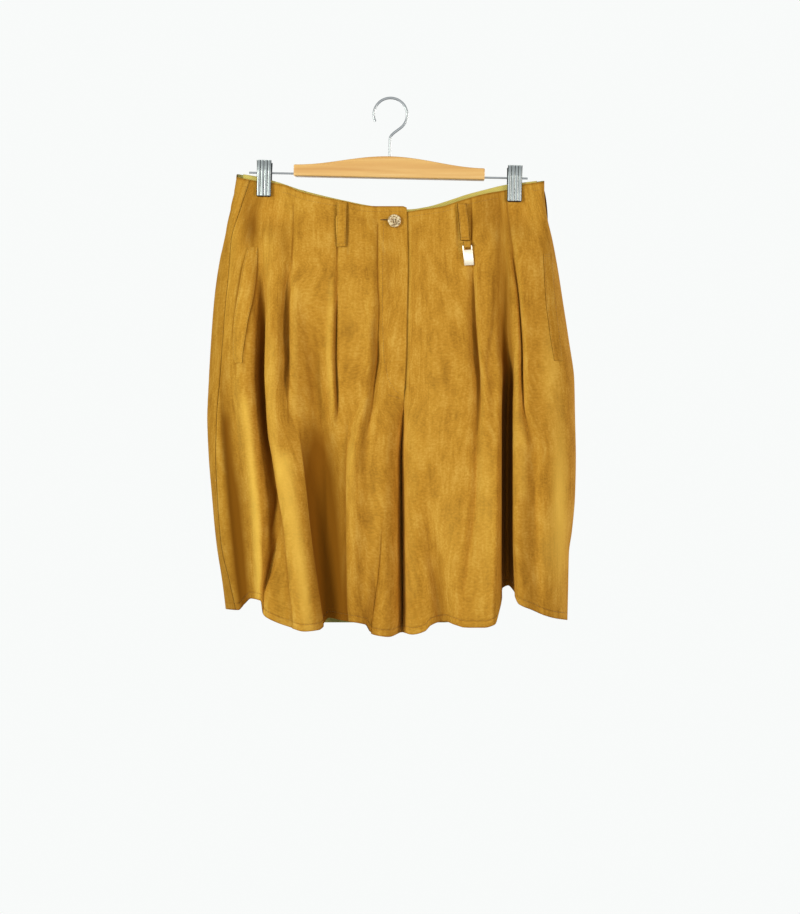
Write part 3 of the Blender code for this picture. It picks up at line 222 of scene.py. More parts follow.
# edges of layers that lie over a fold: +1 for a layer on the fold's right, leaning left, or -1;
# then drop, x of the edge, how far it stands up, how far it leans over, how far in that reaches
frontLips = {
    "pocketLip": (1, (
        (120, -177, 0, 0, 8), (160, -173, 1.0, 1.5, 9), (202, -170.5, 2, 4, 10), (256, -170, 2.5, 5.5, 11),
        (289, -168.5, 3, 5.5, 12), (328, -166, 3, 5.5, 13), (362, -161, 3, 5, 14), (401, -156, 3.5, 4, 14),
        (455, -148, 4, 3, 15), (510, -143, 4.5, 2.5, 15), (575, -137, 5, 2, 15))),
    "outerPleatLip": (1, (
        (113, -141.5, 0, 0, 7), (140, -141.5, 1.2, 1.5, 8), (202, -140, 3, 3, 9), (250, -140, 3, 3, 9),
        (280, -142.5, 2, 2, 9), (312, -146, 0, 0, 9))),
    "middlePleatLip": (-1, (
        (118, -83, 0, 0, 6), (160, -84.5, 1.2, 1.2, 6), (237, -87, 2.6, 2.8, 7), (285, -85, 2.2, 2.2, 8),
        (315, -82, 0, 0, 8))),
    "wideTroughLip": (-1, (
        (322, -133, 0, 0, 12), (360, -129, 2, 1.5, 13), (459, -119.5, 4.5, 3.5, 14),
        (575, -103.5, 5.5, 3.5, 14))),
    "thirdLobeLip": (1, (
        (296, -62, 0, 0, 10), (329, -65, 2, 1.5, 11), (373, -66.5, 3.5, 3, 12), (420, -66, 4.5, 3.5, 12),
        (541, -65, 4.5, 3.5, 12), (588, -62, 4, 3, 12))),
    "innerPleatLip": (-1, (
        (150, -28, 0, 0, 7), (185, -30, 1.2, 1.4, 8), (230, -32, 1.8, 2.0, 9), (285, -38, 1.2, 1.4, 9),
        (340, -46, 0, 0, 9))),
    "loopPleatLip": (1, (
        (92, 96, 0, 0, 7), (115, 97.5, 1.2, 1.2, 7), (158, 100.5, 2.2, 2.2, 8), (202, 103.5, 3, 2.8, 9),
        (267, 108, 3, 2.6, 9), (302, 106.5, 1.4, 1.2, 9), (340, 103, 0, 0, 9))),
    "fifthLobeLip": (-1, (
        (214, 129.5, 0, 0, 8), (255, 130, 2, 2, 9), (312, 128.8, 3, 2.6, 9), (459, 128.8, 3, 2.6, 9),
        (568, 130, 2.4, 2, 9))),
    "sixthLobeLip": (1, (
        (214, 150, 0, 0, 8), (255, 150.5, 2, 2, 9), (312, 150, 3, 2.6, 9), (459, 150, 3, 2.6, 9),
        (568, 153, 2.4, 2, 9))),
    "innerLegLip": (-1, (
        (440, -25, 0, 0, 9), (475, -27, 1.2, 1, 9), (544, -34, 3, 2.2, 11), (577, -39.5, 3.4, 2.4, 12))),
    "sidePleatLip": (1, (
        (96, 148.5, 0, 0, 6), (119, 153, 1.4, 1.4, 7), (163, 159.5, 3, 3, 9), (245, 164, 3.4, 3.2, 10),
        (290, 164.5, 2, 2, 10), (350, 174, 0, 0, 10))),
}
lipSharp = 1.5                 # how soon a lip's edge falls away, mm
# how dark the sewn edges are, and the level and half width of the waist's dark line
worn = {"hemStitch": 0.15, "waistEdge": 0.55, "waistLine": 1.2, "hemEdge": 0.5, "half": 1.3}
# painted shadow on the layer that a lip overhangs: how far that reaches, mm, and how dark it is where the lip
# stands up by "full" or more; it begins within "edge" of the lip's own edge
lipShade = {"wideTroughLip": (49.0, 0.9), "others": (7.5, 0.4), "full": 4.0, "edge": 0.6}
innerShade = {"leg": 0.4, "underlap": 0.5}    # painted shade on what hides between the legs
foldShadeDepth = {"front": 26.0, "back": 15.0}    # how deep a fold is where its painted shade is darkest
backPatchShare = 0.6                 # how much of the front's patches, stains and painted light alike, the back shows
awayShade = 0.16                 # painted shade: how much darker the suede is drawn where it turns away from the stronger softbox
# places stained or worn, and patches of painted shade and painted highlight where the cloth turns from or to
# the light: x, drop, half width, half height, darker (or, if negative, paler)
stainAndLightPatches = (
    (-190, 64, 7, 26, 0.6), (-184, 26, 8, 10, 0.2), (-150, 84, 6, 26, 0.3), (-204, 160, 9, 60, 0.34),
    (-172, 88, 9, 28, -0.12), (-111, 240, 11, 50, 0.30), (-150, 330, 9, 60, 0.10),
    (-132, 60, 20, 12, 0.10), (-52, 54, 26, 7, 0.16), (-36, 98, 12, 40, 0.12), (-14, 110, 6, 50, 0.16),
    (-30, 250, 9, 40, 0.12), (-105, 500, 16, 90, 0.22), (-64, 180, 22, 60, -0.06),
    (-120, 150, 14, 40, -0.05), (-38, 420, 16, 90, -0.10), (30, 560, 16, 14, 0.16),
    (48, 300, 30, 90, -0.06), (60, 460, 24, 60, -0.12), (26, 460, 7, 60, 0.12), (90, 210, 10, 60, 0.16),
    (124, 110, 8, 40, 0.14), (112, 440, 12, 80, -0.14), (128, 90, 7, 50, 0.16), (150, 60, 12, 20, 0.10),
    (172, 330, 8, 60, 0.14), (196, 240, 12, 70, -0.36), (208, 425, 10, 110, -0.8),
    (160, 500, 8, 60, -0.10), (86, 60, 10, 14, 0.10), (20, 66, 14, 16, 0.10), (-76, 66, 14, 14, 0.08),
    (-230, 300, 9, 120, 0.18), (-170, 480, 12, 70, 0.18), (-205, 430, 10, 60, 0.05),
    (-226, 470, 8, 60, 0.22), (-211, 520, 13, 80, 0.5), (-214, 420, 11, 50, 0.26),
    (138, 150, 9, 70, 0.55), (133, 225, 8, 50, 0.3), (192, 484, 11, 44, -0.3), (153, 520, 8, 80, 0.22),
)
# painted shade along a line (or, if negative, painted highlight): in troughs, pleats and creases, round the
# belt loops and pocket edges, and on lit ridges; darker, half width, then drop and x down the line
paintedLightLines = (
    (0.50, 7, ((290, -227), (341, -224), (420, -217), (497, -208), (590, -197))),
    (0.26, 7, ((380, -163), (440, -164), (500, -170))),
    (0.7, 1.6, ((120, -142.5), (202, -141.4), (250, -141.4), (300, -145))),
    (0.22, 9, ((400, -125), (480, -117), (590, -108))),
    (0.35, 2.6, ((396, -157), (430, -163), (462, -169))),
    (0.35, 2.8, ((466, -160), (500, -170), (545, -179))),
    (0.30, 4.5, ((120, -183), (200, -180), (300, -179), (380, -170))),
    (-0.55, 5.5, ((270, -204), (343, -195), (450, -186), (590, -179))),
    (-0.6, 9, ((340, -150), (400, -145), (455, -136), (510, -127), (590, -117))),
    (0.35, 13, ((300, -118), (340, -112), (380, -106))),
    (-0.26, 4, ((190, -164), (289, -162), (380, -153))),
    (-0.22, 3.5, ((120, -136), (250, -134), (300, -138))),
    (-0.24, 3.2, ((120, -90), (230, -93), (290, -88))),
    (-0.22, 4.5, ((330, -60), (420, -60), (590, -57))),
    (-0.3, 6, ((210, 159), (300, 160), (400, 161))),
    (0.6, 3, ((150, -84), (230, -86), (300, -84))),
    (0.5, 1.5, ((92, -199), (119, -206), (163, -213), (207, -217.5), (238, -214))),
    (0.6, 1.5, ((92, -184), (119, -186), (142, -188.5), (163, -192), (182, -196), (207, -200),
                (229, -203.5))),
    (0.6, 1.8, ((89, 146.5), (119, 150), (163, 157), (245, 161.5), (290, 162))),
    (0.75, 1.5, ((32, -82.2), (82, -81.4))), (0.55, 1.5, ((34, -68.8), (82, -68.0))),
    (0.55, 1.5, ((30, 72.6), (80, 74.4))), (0.75, 1.5, ((30, 92.4), (80, 93.6))),
    (0.26, 3, ((115, 94), (180, 97), (267, 102), (330, 100))),
    (0.18, 4, ((118, 122), (200, 119), (330, 119))),
    (0.22, 3, ((440, -26), (494, -27), (590, -38))),
    (0.20, 6, ((450, 44), (516, 50), (590, 57))),
    (0.26, 4, ((170, -33), (267, -39), (370, -50))),
    (0.16, 2.5, ((60, -30), (165, -30))),
)
# stitched stretches of the pleats, thin grooves: drop, x
seamLines = (
    ((30, -138.5), (49, -138.4), (106, -140.4)), ((47, -81.6), (90, -81.6), (123, -82)),
    ((56, -28.6), (107, -29), (164, -27.5)), ((24, 138.4), (60, 142), (89, 146)),
    ((24, 92.5), (60, 93.5), (84, 92)),
)
# the stitched darts of the back, the same way
backSeams = (
    ((12, -128), (60, -125), (118, -120)), ((30, -72), (70, -70), (126, -66)),
    ((30, 70), (70, 68), (126, 64)), ((8, 128), (60, 125), (118, 120)),
)
# the stitched pleats' and darts' grooves; dark and darkHalf give painted shade along each groove and on down
# the fold below it
seamGroove = {"deep": 0.9, "half": 0.9, "dark": 0.5, "darkHalf": 1.4, "end": 5.0, "fade": 30.0}
# small creases, seams and dents: x, drop at either end, deep, half width
frontCreases = (
    # waist, image's left
    (-164, 32, -138, 43, 0.9, 2.0), (-146, 26, -118, 37, 0.8, 1.8), (-118, 37, -84, 47, 0.8, 1.8),
    (-66, 47, -37, 55, 0.8, 1.8), (-62, 40, -34, 47, 0.4, 2.0), (-56, 84, -30, 90, 0.6, 3.0),
    (-46, 126, -28, 120, 0.6, 3.0),
    (-60, 52, -40, 62, -0.4, 3.5), (-24, 82, -15, 101, 0.9, 2.2), (-15, 101, -12, 146, 1.0, 2.2),
    (-12, 146, -10, 166, 0.7, 2.2), (-180, 28, -196, 44, 1.6, 4.5), (-188, 42, -186, 74, 1.5, 5.0),
    (-170, 28, -150, 34, 0.6, 3.0), (-160, 40, -146, 64, 0.5, 4.0),
    # waist, image's right
    (18, 50, 72, 35, 0.6, 2.4), (27, 58, 70, 46, 0.7, 3.0), (22, 74, 46, 62, 0.5, 4.0),
    (16, 60, 24, 96, 0.5, 3.0), (94, 42, 124, 34, 0.5, 3.0), (118, 46, 112, 90, 0.6, 4.0),
    (128, 30, 132, 92, 0.8, 3.5), (96, 62, 120, 74, -0.5, 6.0), (60, 96, 62, 132, 0.5, 4.0),
    (150, 40, 172, 60, -0.6, 7.0), (160, 70, 176, 96, 0.6, 5.0), (24, 110, 60, 150, -0.6, 10.0),
    # the ends of the fly's stitching
    (-29, 241, 6, 244, 0.6, 1.3), (-22, 262, -6, 279, 0.6, 1.3), (-6, 279, 4, 284, 0.6, 1.3),
    # skirts of the pleats, image's left
    (-158, 398, -168, 458, 3.4, 4.6), (-160, 471, -178, 538, 3.0, 5.0), (-172, 430, -178, 500, 1.4, 5.0),
    (-214, 300, -208, 380, 1.2, 4.0), (-152, 330, -150, 372, 0.8, 4.0), (-122, 180, -112, 290, 1.2, 4.0),
    (-104, 230, -100, 320, 0.9, 3.0), (-126, 270, -118, 370, 0.8, 5.0), (-98, 330, -94, 470, 1.2, 3.5),
    (-70, 320, -52, 350, 1.4, 5.0), (-52, 370, -58, 420, 1.0, 4.0), (-52, 470, -46, 570, 0.8, 5.0),
    (-36, 500, -34, 575, 1.6, 2.4), (-16, 430, -12, 540, 0.8, 5.0), (-56, 180, -48, 260, 1.0, 5.0),
    (-70, 150, -62, 240, 0.7, 5.0), (-18, 190, -16, 262, 0.8, 3.6), (-6, 300, -14, 400, 0.8, 4.0),
    # skirts of the pleats, image's right
    (102, 345, 99, 430, 1.2, 3.0), (99, 430, 92, 480, 1.2, 3.0), (92, 480, 84, 540, 0.8, 4.0),
    (12, 380, 30, 460, 1.4, 5.0), (30, 460, 38, 510, 1.4, 5.0), (20, 300, 30, 380, 0.6, 6.0),
    (60, 430, 66, 560, 0.9, 6.0), (44, 200, 50, 320, -0.9, 12.0), (72, 240, 64, 360, 0.8, 8.0),
    (86, 180, 90, 250, -0.8, 5.0), (148, 330, 170, 366, 2.0, 5.0), (170, 366, 176, 430, 1.6, 5.0),
    (176, 430, 168, 520, 1.2, 6.0), (193, 195, 196, 224, 1.4, 2.4), (196, 224, 203, 256, 1.4, 3.0),
    (203, 256, 208, 300, 0.8, 4.0), (160, 480, 186, 556, 1.0, 6.0), (190, 420, 200, 500, -1.0, 8.0),
    (112, 440, 108, 540, 0.9, 6.0), (26, 540, 30, 575, 1.0, 4.0), (82, 100, 96, 160, -0.8, 5.0),
)
backCreases = (
    (-196, 30, -176, 52, 2.2, 4.0), (-150, 34, -128, 60, 1.4, 4.0), (-60, 60, -20, 84, 1.1, 5.0),
    (6, 92, 62, 66, 1.3, 5.0), (120, 40, 150, 60, 1.4, 4.0), (168, 60, 184, 92, 2.2, 4.0),
    (-188, 150, -160, 230, 2.5, 6.0), (-150, 120, -120, 210, 1.6, 6.0), (-96, 180, -40, 216, 1.8, 6.0),
    (-70, 236, -14, 276, 2.5, 6.0), (-44, 300, -10, 318, 2.9, 5.0), (20, 312, 60, 286, 2.9, 6.0),
    (28, 268, 92, 230, 2.2, 6.0), (60, 190, 128, 160, 1.6, 6.0), (140, 170, 176, 250, 2.3, 6.0),
    (-206, 300, -196, 390, 2.7, 6.0), (-142, 330, -132, 430, 2.9, 6.0), (-84, 350, -78, 470, 2.5, 6.0),
    (-34, 380, -28, 520, 2.5, 5.0), (24, 360, 30, 480, 2.3, 5.0), (70, 340, 66, 450, 2.7, 6.0),
    (108, 300, 118, 400, 2.9, 6.0), (162, 340, 156, 470, 3.1, 6.0), (192, 400, 200, 520, 2.3, 5.0),
    (-176, 470, -166, 560, 2.7, 6.0), (-120, 480, -128, 560, 2.2, 5.0), (96, 480, 106, 560, 2.5, 5.0),
)
# lines that a column of the cloth's grid follows, (drop, x) down each, after the number of
# columns from the line before; the last count reaches the panel's far edge
rails = {
    "frontRight": (
        (3, ((0, -187), (81, -209), (198, -226), (250, -228), (341, -223), (420, -216),
             (497, -207), (581, -196))),
        (4, ((0, -180), (81, -199), (198, -207), (269, -208), (343, -201), (450, -191),
             (546, -185), (581, -184))),
        (5, ((0, -172), (81, -182), (147, -177), (202, -175), (289, -174), (362, -166),
             (438, -158), (510, -168), (538, -176), (575, -178))),
        (3, ((0, -164), (81, -172), (202, -169), (289, -168), (362, -160), (438, -151),
             (510, -161), (538, -170), (575, -172))),
        (7, ((35, -138), (106, -140), (158, -144), (234, -142), (285, -144), (330, -134),
             (381, -120), (459, -111), (575, -99))),
        (9, ((35, -82), (193, -84), (234, -86), (289, -83), (330, -75), (373, -68),
             (541, -67), (588, -63))),
        (7, ((44, -29), (159, -27), (230, -29), (267, -34), (329, -43), (373, -46),
             (430, -38), (494, -29), (577, -40))),
        (6, None)),
    "frontLeft": (
        (6, ((0, 40), (300, 38), (411, 36), (472, 41), (577, 54))),
        (8, ((0, 92), (87, 92), (202, 101), (267, 106), (337, 101), (450, 95), (538, 86),
             (580, 82))),
        (6, ((0, 126), (60, 130), (180, 128), (252, 132), (459, 130), (568, 130))),
        (4, ((0, 131), (60, 135), (180, 138), (252, 142), (312, 140), (459, 139), (568, 141))),
        (4, ((0, 135), (60, 139), (115, 142), (180, 146), (252, 150), (312, 149), (459, 148),
             (568, 151))),
        (4, ((0, 139), (60, 143), (119, 151), (163, 157), (245, 161), (294, 162), (354, 173),
             (562, 175))),
        (5, ((0, 165), (81, 185), (200, 203), (341, 210), (562, 209))),
        (4, None)),
    "backRight": (
        (5, ((0, -58), (240, -62), (420, -58), (590, -52))),
        (4, ((0, -112), (250, -112), (380, -108), (590, -100))),
        (4, ((0, -150), (180, -165), (400, -160), (590, -152))),
        (4, ((0, -180), (210, -196), (320, -190), (590, -194))),
        (5, None)),
    "backLeft": (
        (4, ((0, 160), (220, 178), (590, 178))),
        (6, ((0, 128), (190, 138), (450, 134), (590, 136))),
        (6, ((0, 80), (420, 88), (590, 92))),
        (4, ((0, 36), (400, 44), (590, 50))),
        (4, None)),
}
grid = {
    "columns": 5,              # columns for each one that the rails name
    "legColumns": 14,
    "fine": 900,               # steps along a row, from which its columns are chosen
    "leftRound": 120,          # and on the cloth that goes round each side
    "rightRound": 160,
    "span": 200,               # points that weigh the stretch between two rails
    "foldPull": 2.6,           # how much closer the columns lie at a fold
    "foldFull": 8.0,           # they do so in full at a fold this deep
    "flyPull": 3.0,
    "flyAside": 2.5,
    "flyHalf": 4.5,
    "lipPull": 4.0,            # and at the edge of a layer or a seam
    "lipHalf": 3.0,
    "seamHalf": 2.0,
    "seamPast": 4.0,
    # level, then the step down to the next stretch
    "levels": ((0, 0.8), (4, 2.5), (60, 4.0), (540, 2.0), (564, 1.0), (580, 0)),
    "normalStep": 0.5,         # either way, for the direction that the cloth faces
    "frameReach": 12.0,        # down the panel, for the direction in which it hangs
}


def smoothStep(value):
    t = np.clip(value, 0.0, 1.0)
    return t * t * (3.0 - 2.0 * t)


def fadeEnds(drop, top, bottom, over, under):
    # 0 at top and bottom and 1 between them: it rises within over and falls within under
    return smoothStep((drop - top) / over) * smoothStep((bottom - drop) / under)


def nothing(x, drop):
    return np.zeros(np.broadcast(x, drop).shape)


def curveThrough(table, column=1):
    # smooth, and never past its rows
    at = np.array([row[0] for row in table], float)
    value = np.array([row[column] for row in table], float)
    step = np.diff(at)
    slope = np.diff(value) / step
    tangent = np.zeros(len(at))
    same = slope[:-1] * slope[1:] > 0.0
    safe = np.where(same, slope[:-1] + slope[1:], 1.0)
    tangent[1:-1] = np.where(same, 2.0 * slope[:-1] * slope[1:] / safe, 0.0)
    tangent[0], tangent[-1] = slope[0], slope[-1]

    def read(where):
        where = np.clip(np.asarray(where, float), at[0], at[-1])
        i = np.clip(np.searchsorted(at, where, side="right") - 1, 0, len(step) - 1)
        t = (where - at[i]) / step[i]
        rise = value[i + 1] - value[i]
        a = tangent[i] * step[i]
        b = tangent[i + 1] * step[i]
        return value[i] + t * (a + t * (3.0 * rise - 2.0 * a - b + t * (a + b - 2.0 * rise)))

    return read


rightOutline, leftOutline, rightSeam = (curveThrough(outline, k) for k in (1, 2, 3))
frontDepth, backDepth, sideWidth = (curveThrough(fullness, k) for k in (1, 2, 3))
centreX, centreGap, centreFull = (curveThrough(centre, k) for k in (1, 2, 3))
waistLine = {side: curveThrough(rows) for side, rows in waist.items()}
hemLine = {side: curveThrough(rows) for side, rows in hem.items()}
foldCurves = {
    behind: [[curveThrough(rows, k) for k in (1, 2, 3, 4)] for rows in folds.values()]
    for behind, folds in ((False, frontFolds), (True, backFolds))
}
lipCurves = [(side, [curveThrough(rows, k) for k in (1, 2, 3, 4)]) for side, rows in frontLips.values()]
seamCurves = {
    behind: [(curveThrough(rows), rows[0][0], rows[-1][0]) for rows in lines]
    for behind, lines in ((False, seamLines), (True, backSeams))
}
paintedLightCurves = [
    (amount, wide, curveThrough(rows), rows[0][0], rows[-1][0]) for amount, wide, rows in paintedLightLines
]
railCurves = {
    panel: [(count, curveThrough(rows) if rows else None) for count, rows in lines]
    for panel, lines in rails.items()
}


# how the folds run into the flat cloth: powers of the distance over a fold's reach
falls = {
    "fold": 2.4,
    "crease": 1.7,
    "lipShade": 4,
    "tone": 1.4,               # of the depth: the painted shade darkens towards a fold's bottom
}
creaseEnds = {"past": 0.12, "fade": 0.3}    # shares of a crease's length


def foldRelief(x, drop, behind):
    # how far all folds together push the cloth inwards
    total = nothing(x, drop)
    for line, deep, left, right in foldCurves[behind]:
        away = x - line(drop)
        reach = np.where(away < 0.0, left(drop), right(drop))
        total = total + deep(drop) * np.exp(-np.abs(away / reach) ** falls["fold"])
    return total


def lipProfiles(x, drop):
    # for each lip: which way it faces, its profile across the cloth, how high and how far over
    for side, (edge, high, over, reach) in lipCurves:
        away = (x - edge(drop)) * side
        profile = np.exp(-(away / np.where(away < 0.0, lipSharp, reach(drop))) ** 2)
        yield side, profile, high(drop), over(drop)


def lipRelief(x, drop):
    return sum(profile * high for _, profile, high, _ in lipProfiles(x, drop))


def lipLean(x, drop):
    return -sum(side * profile * over for side, profile, _, over in lipProfiles(x, drop))


def seamRelief(x, drop, behind):
    total = nothing(x, drop)
    for line, top, bottom in seamCurves[behind]:
        fade = fadeEnds(drop, top, bottom, seamGroove["end"], seamGroove["end"])
        total = total + seamGroove["deep"] * fade * np.exp(-((x - line(drop)) / seamGroove["half"]) ** 2)
    return total


def foldWeight(x, drop, behind):
    # how densely the columns lie
    total = nothing(x, drop) + 1.0
    for line, deep, left, right in foldCurves[behind]:
        away = (x - line(drop)) / (left(drop) + right(drop))
        strength = np.clip(np.abs(deep(drop)) / grid["foldFull"], 0.0, 1.0)
        total = total + grid["foldPull"] * strength * np.exp(-away * away)
    if not behind:
        for _, (edge, high, _, _) in lipCurves:
            strength = np.clip(high(drop), 0.0, 1.0)
            near = np.exp(-((x - edge(drop)) / grid["lipHalf"]) ** 2)
            total = total + grid["lipPull"] * strength * near
    for line, top, bottom in seamCurves[behind]:
        beside = (drop > top - grid["seamPast"]) & (drop < bottom + grid["seamPast"])
        near = np.exp(-((x - line(drop)) / grid["seamHalf"]) ** 2)
        total = total + grid["lipPull"] * beside * near
    away = x - centreX(drop) - grid["flyAside"]
    return total + grid["flyPull"] * np.exp(-(away / grid["flyHalf"]) ** 2)


def creaseRelief(x, drop, creases):
    # each crease is a soft trough round a short line, fading at both ends
    total = nothing(x, drop)
    past, fadeOver = creaseEnds["past"], creaseEnds["fade"]
    for startX, startDrop, endX, endDrop, deep, width in creases:
        alongX, alongDrop = endX - startX, endDrop - startDrop
        length = math.hypot(alongX, alongDrop)
        share = ((x - startX) * alongX + (drop - startDrop) * alongDrop) / length ** 2
        beside = ((x - startX) * alongDrop - (drop - startDrop) * alongX) / length
        fade = fadeEnds(share, -past, 1.0 + past, fadeOver, fadeOver)
        total = total + deep * fade * np.exp(-np.abs(beside / width) ** falls["crease"])
    return total


# long shallow dents and swellings that keep the suede from looking ironed: their ranges
dentRanges = {
    "x": (-240, 225),
    "drop": (30, 575),
    "lean": (-0.18, 0.18),
    "halfWidth": (5, 15),
    "halfHeight": (18, 70),
}


def scatterDents(seed, count, height):
    draw = np.random.default_rng(seed)
    columns = [draw.uniform(low, high, count) for low, high in dentRanges.values()]
    return np.stack(columns + [draw.uniform(-height, height, count)], axis=1)


dents = {False: scatterDents(11, 90, 0.55), True: scatterDents(12, 110, 0.8)}


def dentRelief(x, drop, behind):
    total = nothing(x, drop)
    for middle, level, lean, wide, tall, high in dents[behind]:
        down = drop - level
        across = x - middle - lean * down
        total = total + high * np.exp(-(across / wide) ** 2 - (down / tall) ** 2)
    return total


def shadeHighlightAndStains(x, drop, behind):
    # painted shade: 0 none, 1 in the bottom of a deep fold; stains add to it and painted highlights take from
    # it
    deepest = foldShadeDepth["back" if behind else "front"]
    total = np.clip(foldRelief(x, drop, behind) / deepest, 0.0, 1.0) ** falls["tone"]
    # the back takes the front's patches, stains and painted light alike, mirrored and weaker
    across = -x if behind else x
    share = backPatchShare if behind else 1.0
    for middle, level, wide, tall, amount in stainAndLightPatches:
        spread = ((across - middle) / wide) ** 2 + ((drop - level) / tall) ** 2
        total = total + share * amount * np.exp(-spread)
    # painted shade along the stitched grooves and on down the folds that open below them
    fadeOver = seamGroove["fade"]
    for line, top, bottom in seamCurves[behind]:
        fade = fadeEnds(drop, top, bottom + fadeOver, seamGroove["end"], fadeOver)
        near = np.exp(-((x - line(drop)) / seamGroove["darkHalf"]) ** 2)
        total = total + seamGroove["dark"] * fade * near
    if not behind:
        # painted shadow beside each lip, on the layer it stands over
        for name, (side, (edge, high, _, _)) in zip(frontLips, lipCurves):
            far, darkest = lipShade.get(name, lipShade["others"])
            under = (edge(drop) - x) * side
            past = np.exp(-(np.clip(under, 0.0, None) / far) ** falls["lipShade"])
            strength = np.clip(high(drop) / lipShade["full"], 0.0, 1.0)
            begun = smoothStep((under + lipShade["edge"]) / (2.0 * lipShade["edge"]))
            total = total + darkest * strength * begun * past
        # painted shade and painted highlights along the lines
        for amount, wide, line, top, bottom in paintedLightCurves:
            fade = fadeEnds(drop, top, bottom + fadeOver, fadeOver, fadeOver)
            total = total + amount * fade * np.exp(-((x - line(drop)) / wide) ** 2)
    return total


def edgeTone(level):
    # darker along the waist's and the hem's edges and along the hem's stitch line
    lines = (
        (worn["waistEdge"], worn["waistLine"]), (worn["hemEdge"], cloth["hemLevel"]),
        (worn["hemStitch"], cloth["hemLevel"] - sewnHem["stitchAbove"]))
    return sum(dark * math.exp(-((level - line) / worn["half"]) ** 2) for dark, line in lines)


def rounded(distance, width):
    # quarter ellipse: 0 at the outermost line, 1 where the panel runs flat
    s = np.clip(distance / width, 0.0, 1.0)
    return np.sqrt(np.clip(1.0 - (1.0 - s) ** 2, 0.0, 1.0))


def pinch(x, drop):
    # 1 under a clip's jaws, fading to 0 around them
    total = nothing(x, drop)
    fade = cloth["heldFade"]
    below = np.clip(drop - cloth["heldDrop"], 0.0, None)
    for clipX in hang["clips"]:
        beside = np.clip(np.abs(x - clipX) - cloth["heldWidth"], 0.0, None)
        total = total + np.exp(-(beside / fade) ** 2 - (below / fade) ** 2)
    return np.clip(total, 0.0, 1.0)


def clothDepth(x, drop, behind, detail=True):
    # depth of the middle of the front or back wall; the front is negative
    sides = rounded(x - rightOutline(drop), sideWidth(drop))
    sides = sides * rounded(leftOutline(drop) - x, sideWidth(drop))
    full = backDepth(drop) if behind else frontDepth(drop)
    held = pinch(x, drop)
    legSide = np.abs(x - centreX(drop)) - centreGap(drop)
    hollow = 1.0 - rounded(legSide, cloth["legRounding"])
    depth = full * sides * (1.0 - (1.0 - centreFull(drop)) * hollow)
    relief = foldRelief(x, drop, behind)
    if detail:
        relief = relief + dentRelief(x, drop, behind) + seamRelief(x, drop, behind)
        relief = relief + creaseRelief(x, drop, backCreases if behind else frontCreases)
    if detail and not behind:
        relief = relief - lipRelief(x, drop)
    depth = depth - sides * relief
    flat = cloth["pinched"] * np.minimum(sides * cloth["pinchedSides"], 1.0)
    depth = depth * (1.0 - held) + flat * held
    return depth if behind else -depth


def place(x, drop, y):
    # real place of a point that the front view shows at x and drop: what is nearer looks larger
    nearer = 1.0 + y / hang["viewDistance"]
    realX = x * nearer - hang["hangerX"]
    height = hang["viewHeight"]
    realZ = -hang["barUnderside"] - height - (drop - height) * nearer
    return np.stack(np.broadcast_arrays(realX, y, realZ), axis=-1) * mm


def onCloth(x, drop, out, side="frontRight", detail=True):
    # points of a panel and its normals, moved out by out mm
    behind = side == "back"

    def surface(px, pd):
        across = px + lipLean(px, pd) if detail and not behind else px
        step = underFly(px, pd) if side == "frontLeft" else 0.0
        return place(across, pd, clothDepth(px, pd, behind, detail) + step)

    small = grid["normalStep"]
    across = surface(x + small, drop) - surface(x - small, drop)
    down = surface(x, drop + small) - surface(x, drop - small)
    normal = np.cross(down, across)
    normal = normal / np.linalg.norm(normal, axis=-1, keepdims=True)
    if behind:
        normal = -normal
    return surface(x, drop) + normal * np.asarray(out)[..., None] * mm, normal


def clothFrame(x, drop, out, turn=0.0):
    # a frame on the front: -Y points outwards, Z runs up the panel
    def spot(level, away):
        return Vector(onCloth(np.array(x), np.array(level), np.array(away), detail=False)[0])

    here, inner, lower = spot(drop, out), spot(drop, 0.0), spot(drop + grid["frameReach"], 0.0)
    outward = (here - inner).normalized()
    across = (inner - lower).cross(outward).normalized()
    axes = Matrix((across, -outward, outward.cross(across))).transposed().to_4x4()
    return Matrix.Translation(here) @ axes @ Matrix.Rotation(math.radians(turn), 4, "Y")


def edgeDrop(level, waistDrop, hemDrop):
    # the levels follow the waist's edge at the top, the hem's at the bottom and lie flat between
    reach = cloth["edgeReach"]
    top = waistDrop * (1.0 - np.clip(level / reach, 0.0, 1.0)) ** cloth["waistFade"]
    bottom = (hemDrop - cloth["hemLevel"]) * smoothStep((level - cloth["hemLevel"] + reach) / reach)
    return level + top + bottom


sewnHem = {
    "stitchAbove": 9.0,        # stitch line over the edge
    "groove": 0.6,
    "grooveHalf": 1.2,
    "turnUp": 0.3,             # the doubled suede stands out this much
    "turnUpFrom": 0.5,         # below the stitch line, over turnUpIn mm
    "turnUpIn": 2.0,
    "pucker": 0.45,
    "puckerHalf": 5.0,
    "puckerLength": 7.3,
    "puckerDrift": 19.0,       # the puckers crowd and spread along the hem, by this much
    "puckerSwing": 1.7,
}


def hemRelief(x, level):
    line = cloth["hemLevel"] - sewnHem["stitchAbove"]
    groove = sewnHem["groove"] * np.exp(-((level - line) / sewnHem["grooveHalf"]) ** 2)
    below = level - line - sewnHem["turnUpFrom"]
    double = sewnHem["turnUp"] * smoothStep(below / sewnHem["turnUpIn"])
    drift = sewnHem["puckerSwing"] * np.sin(x / sewnHem["puckerDrift"])
    wave = np.sin(x * math.tau / sewnHem["puckerLength"] + drift)
    pucker = sewnHem["pucker"] * wave * np.exp(-((level - line) / sewnHem["puckerHalf"]) ** 2)
    return double - groove + pucker


def underFly(x, drop):
    # the left front lies behind the right one from the fly edge inwards
    beyond = (centreX(drop) + cloth["flyStepAt"] - x) / cloth["flyStepIn"]
    lower = 1.0 - smoothStep((drop - cloth["flyEnd"]) / cloth["flyEndFade"])
    return (cloth["suede"] + cloth["flyApart"]) * smoothStep(beyond) * lower


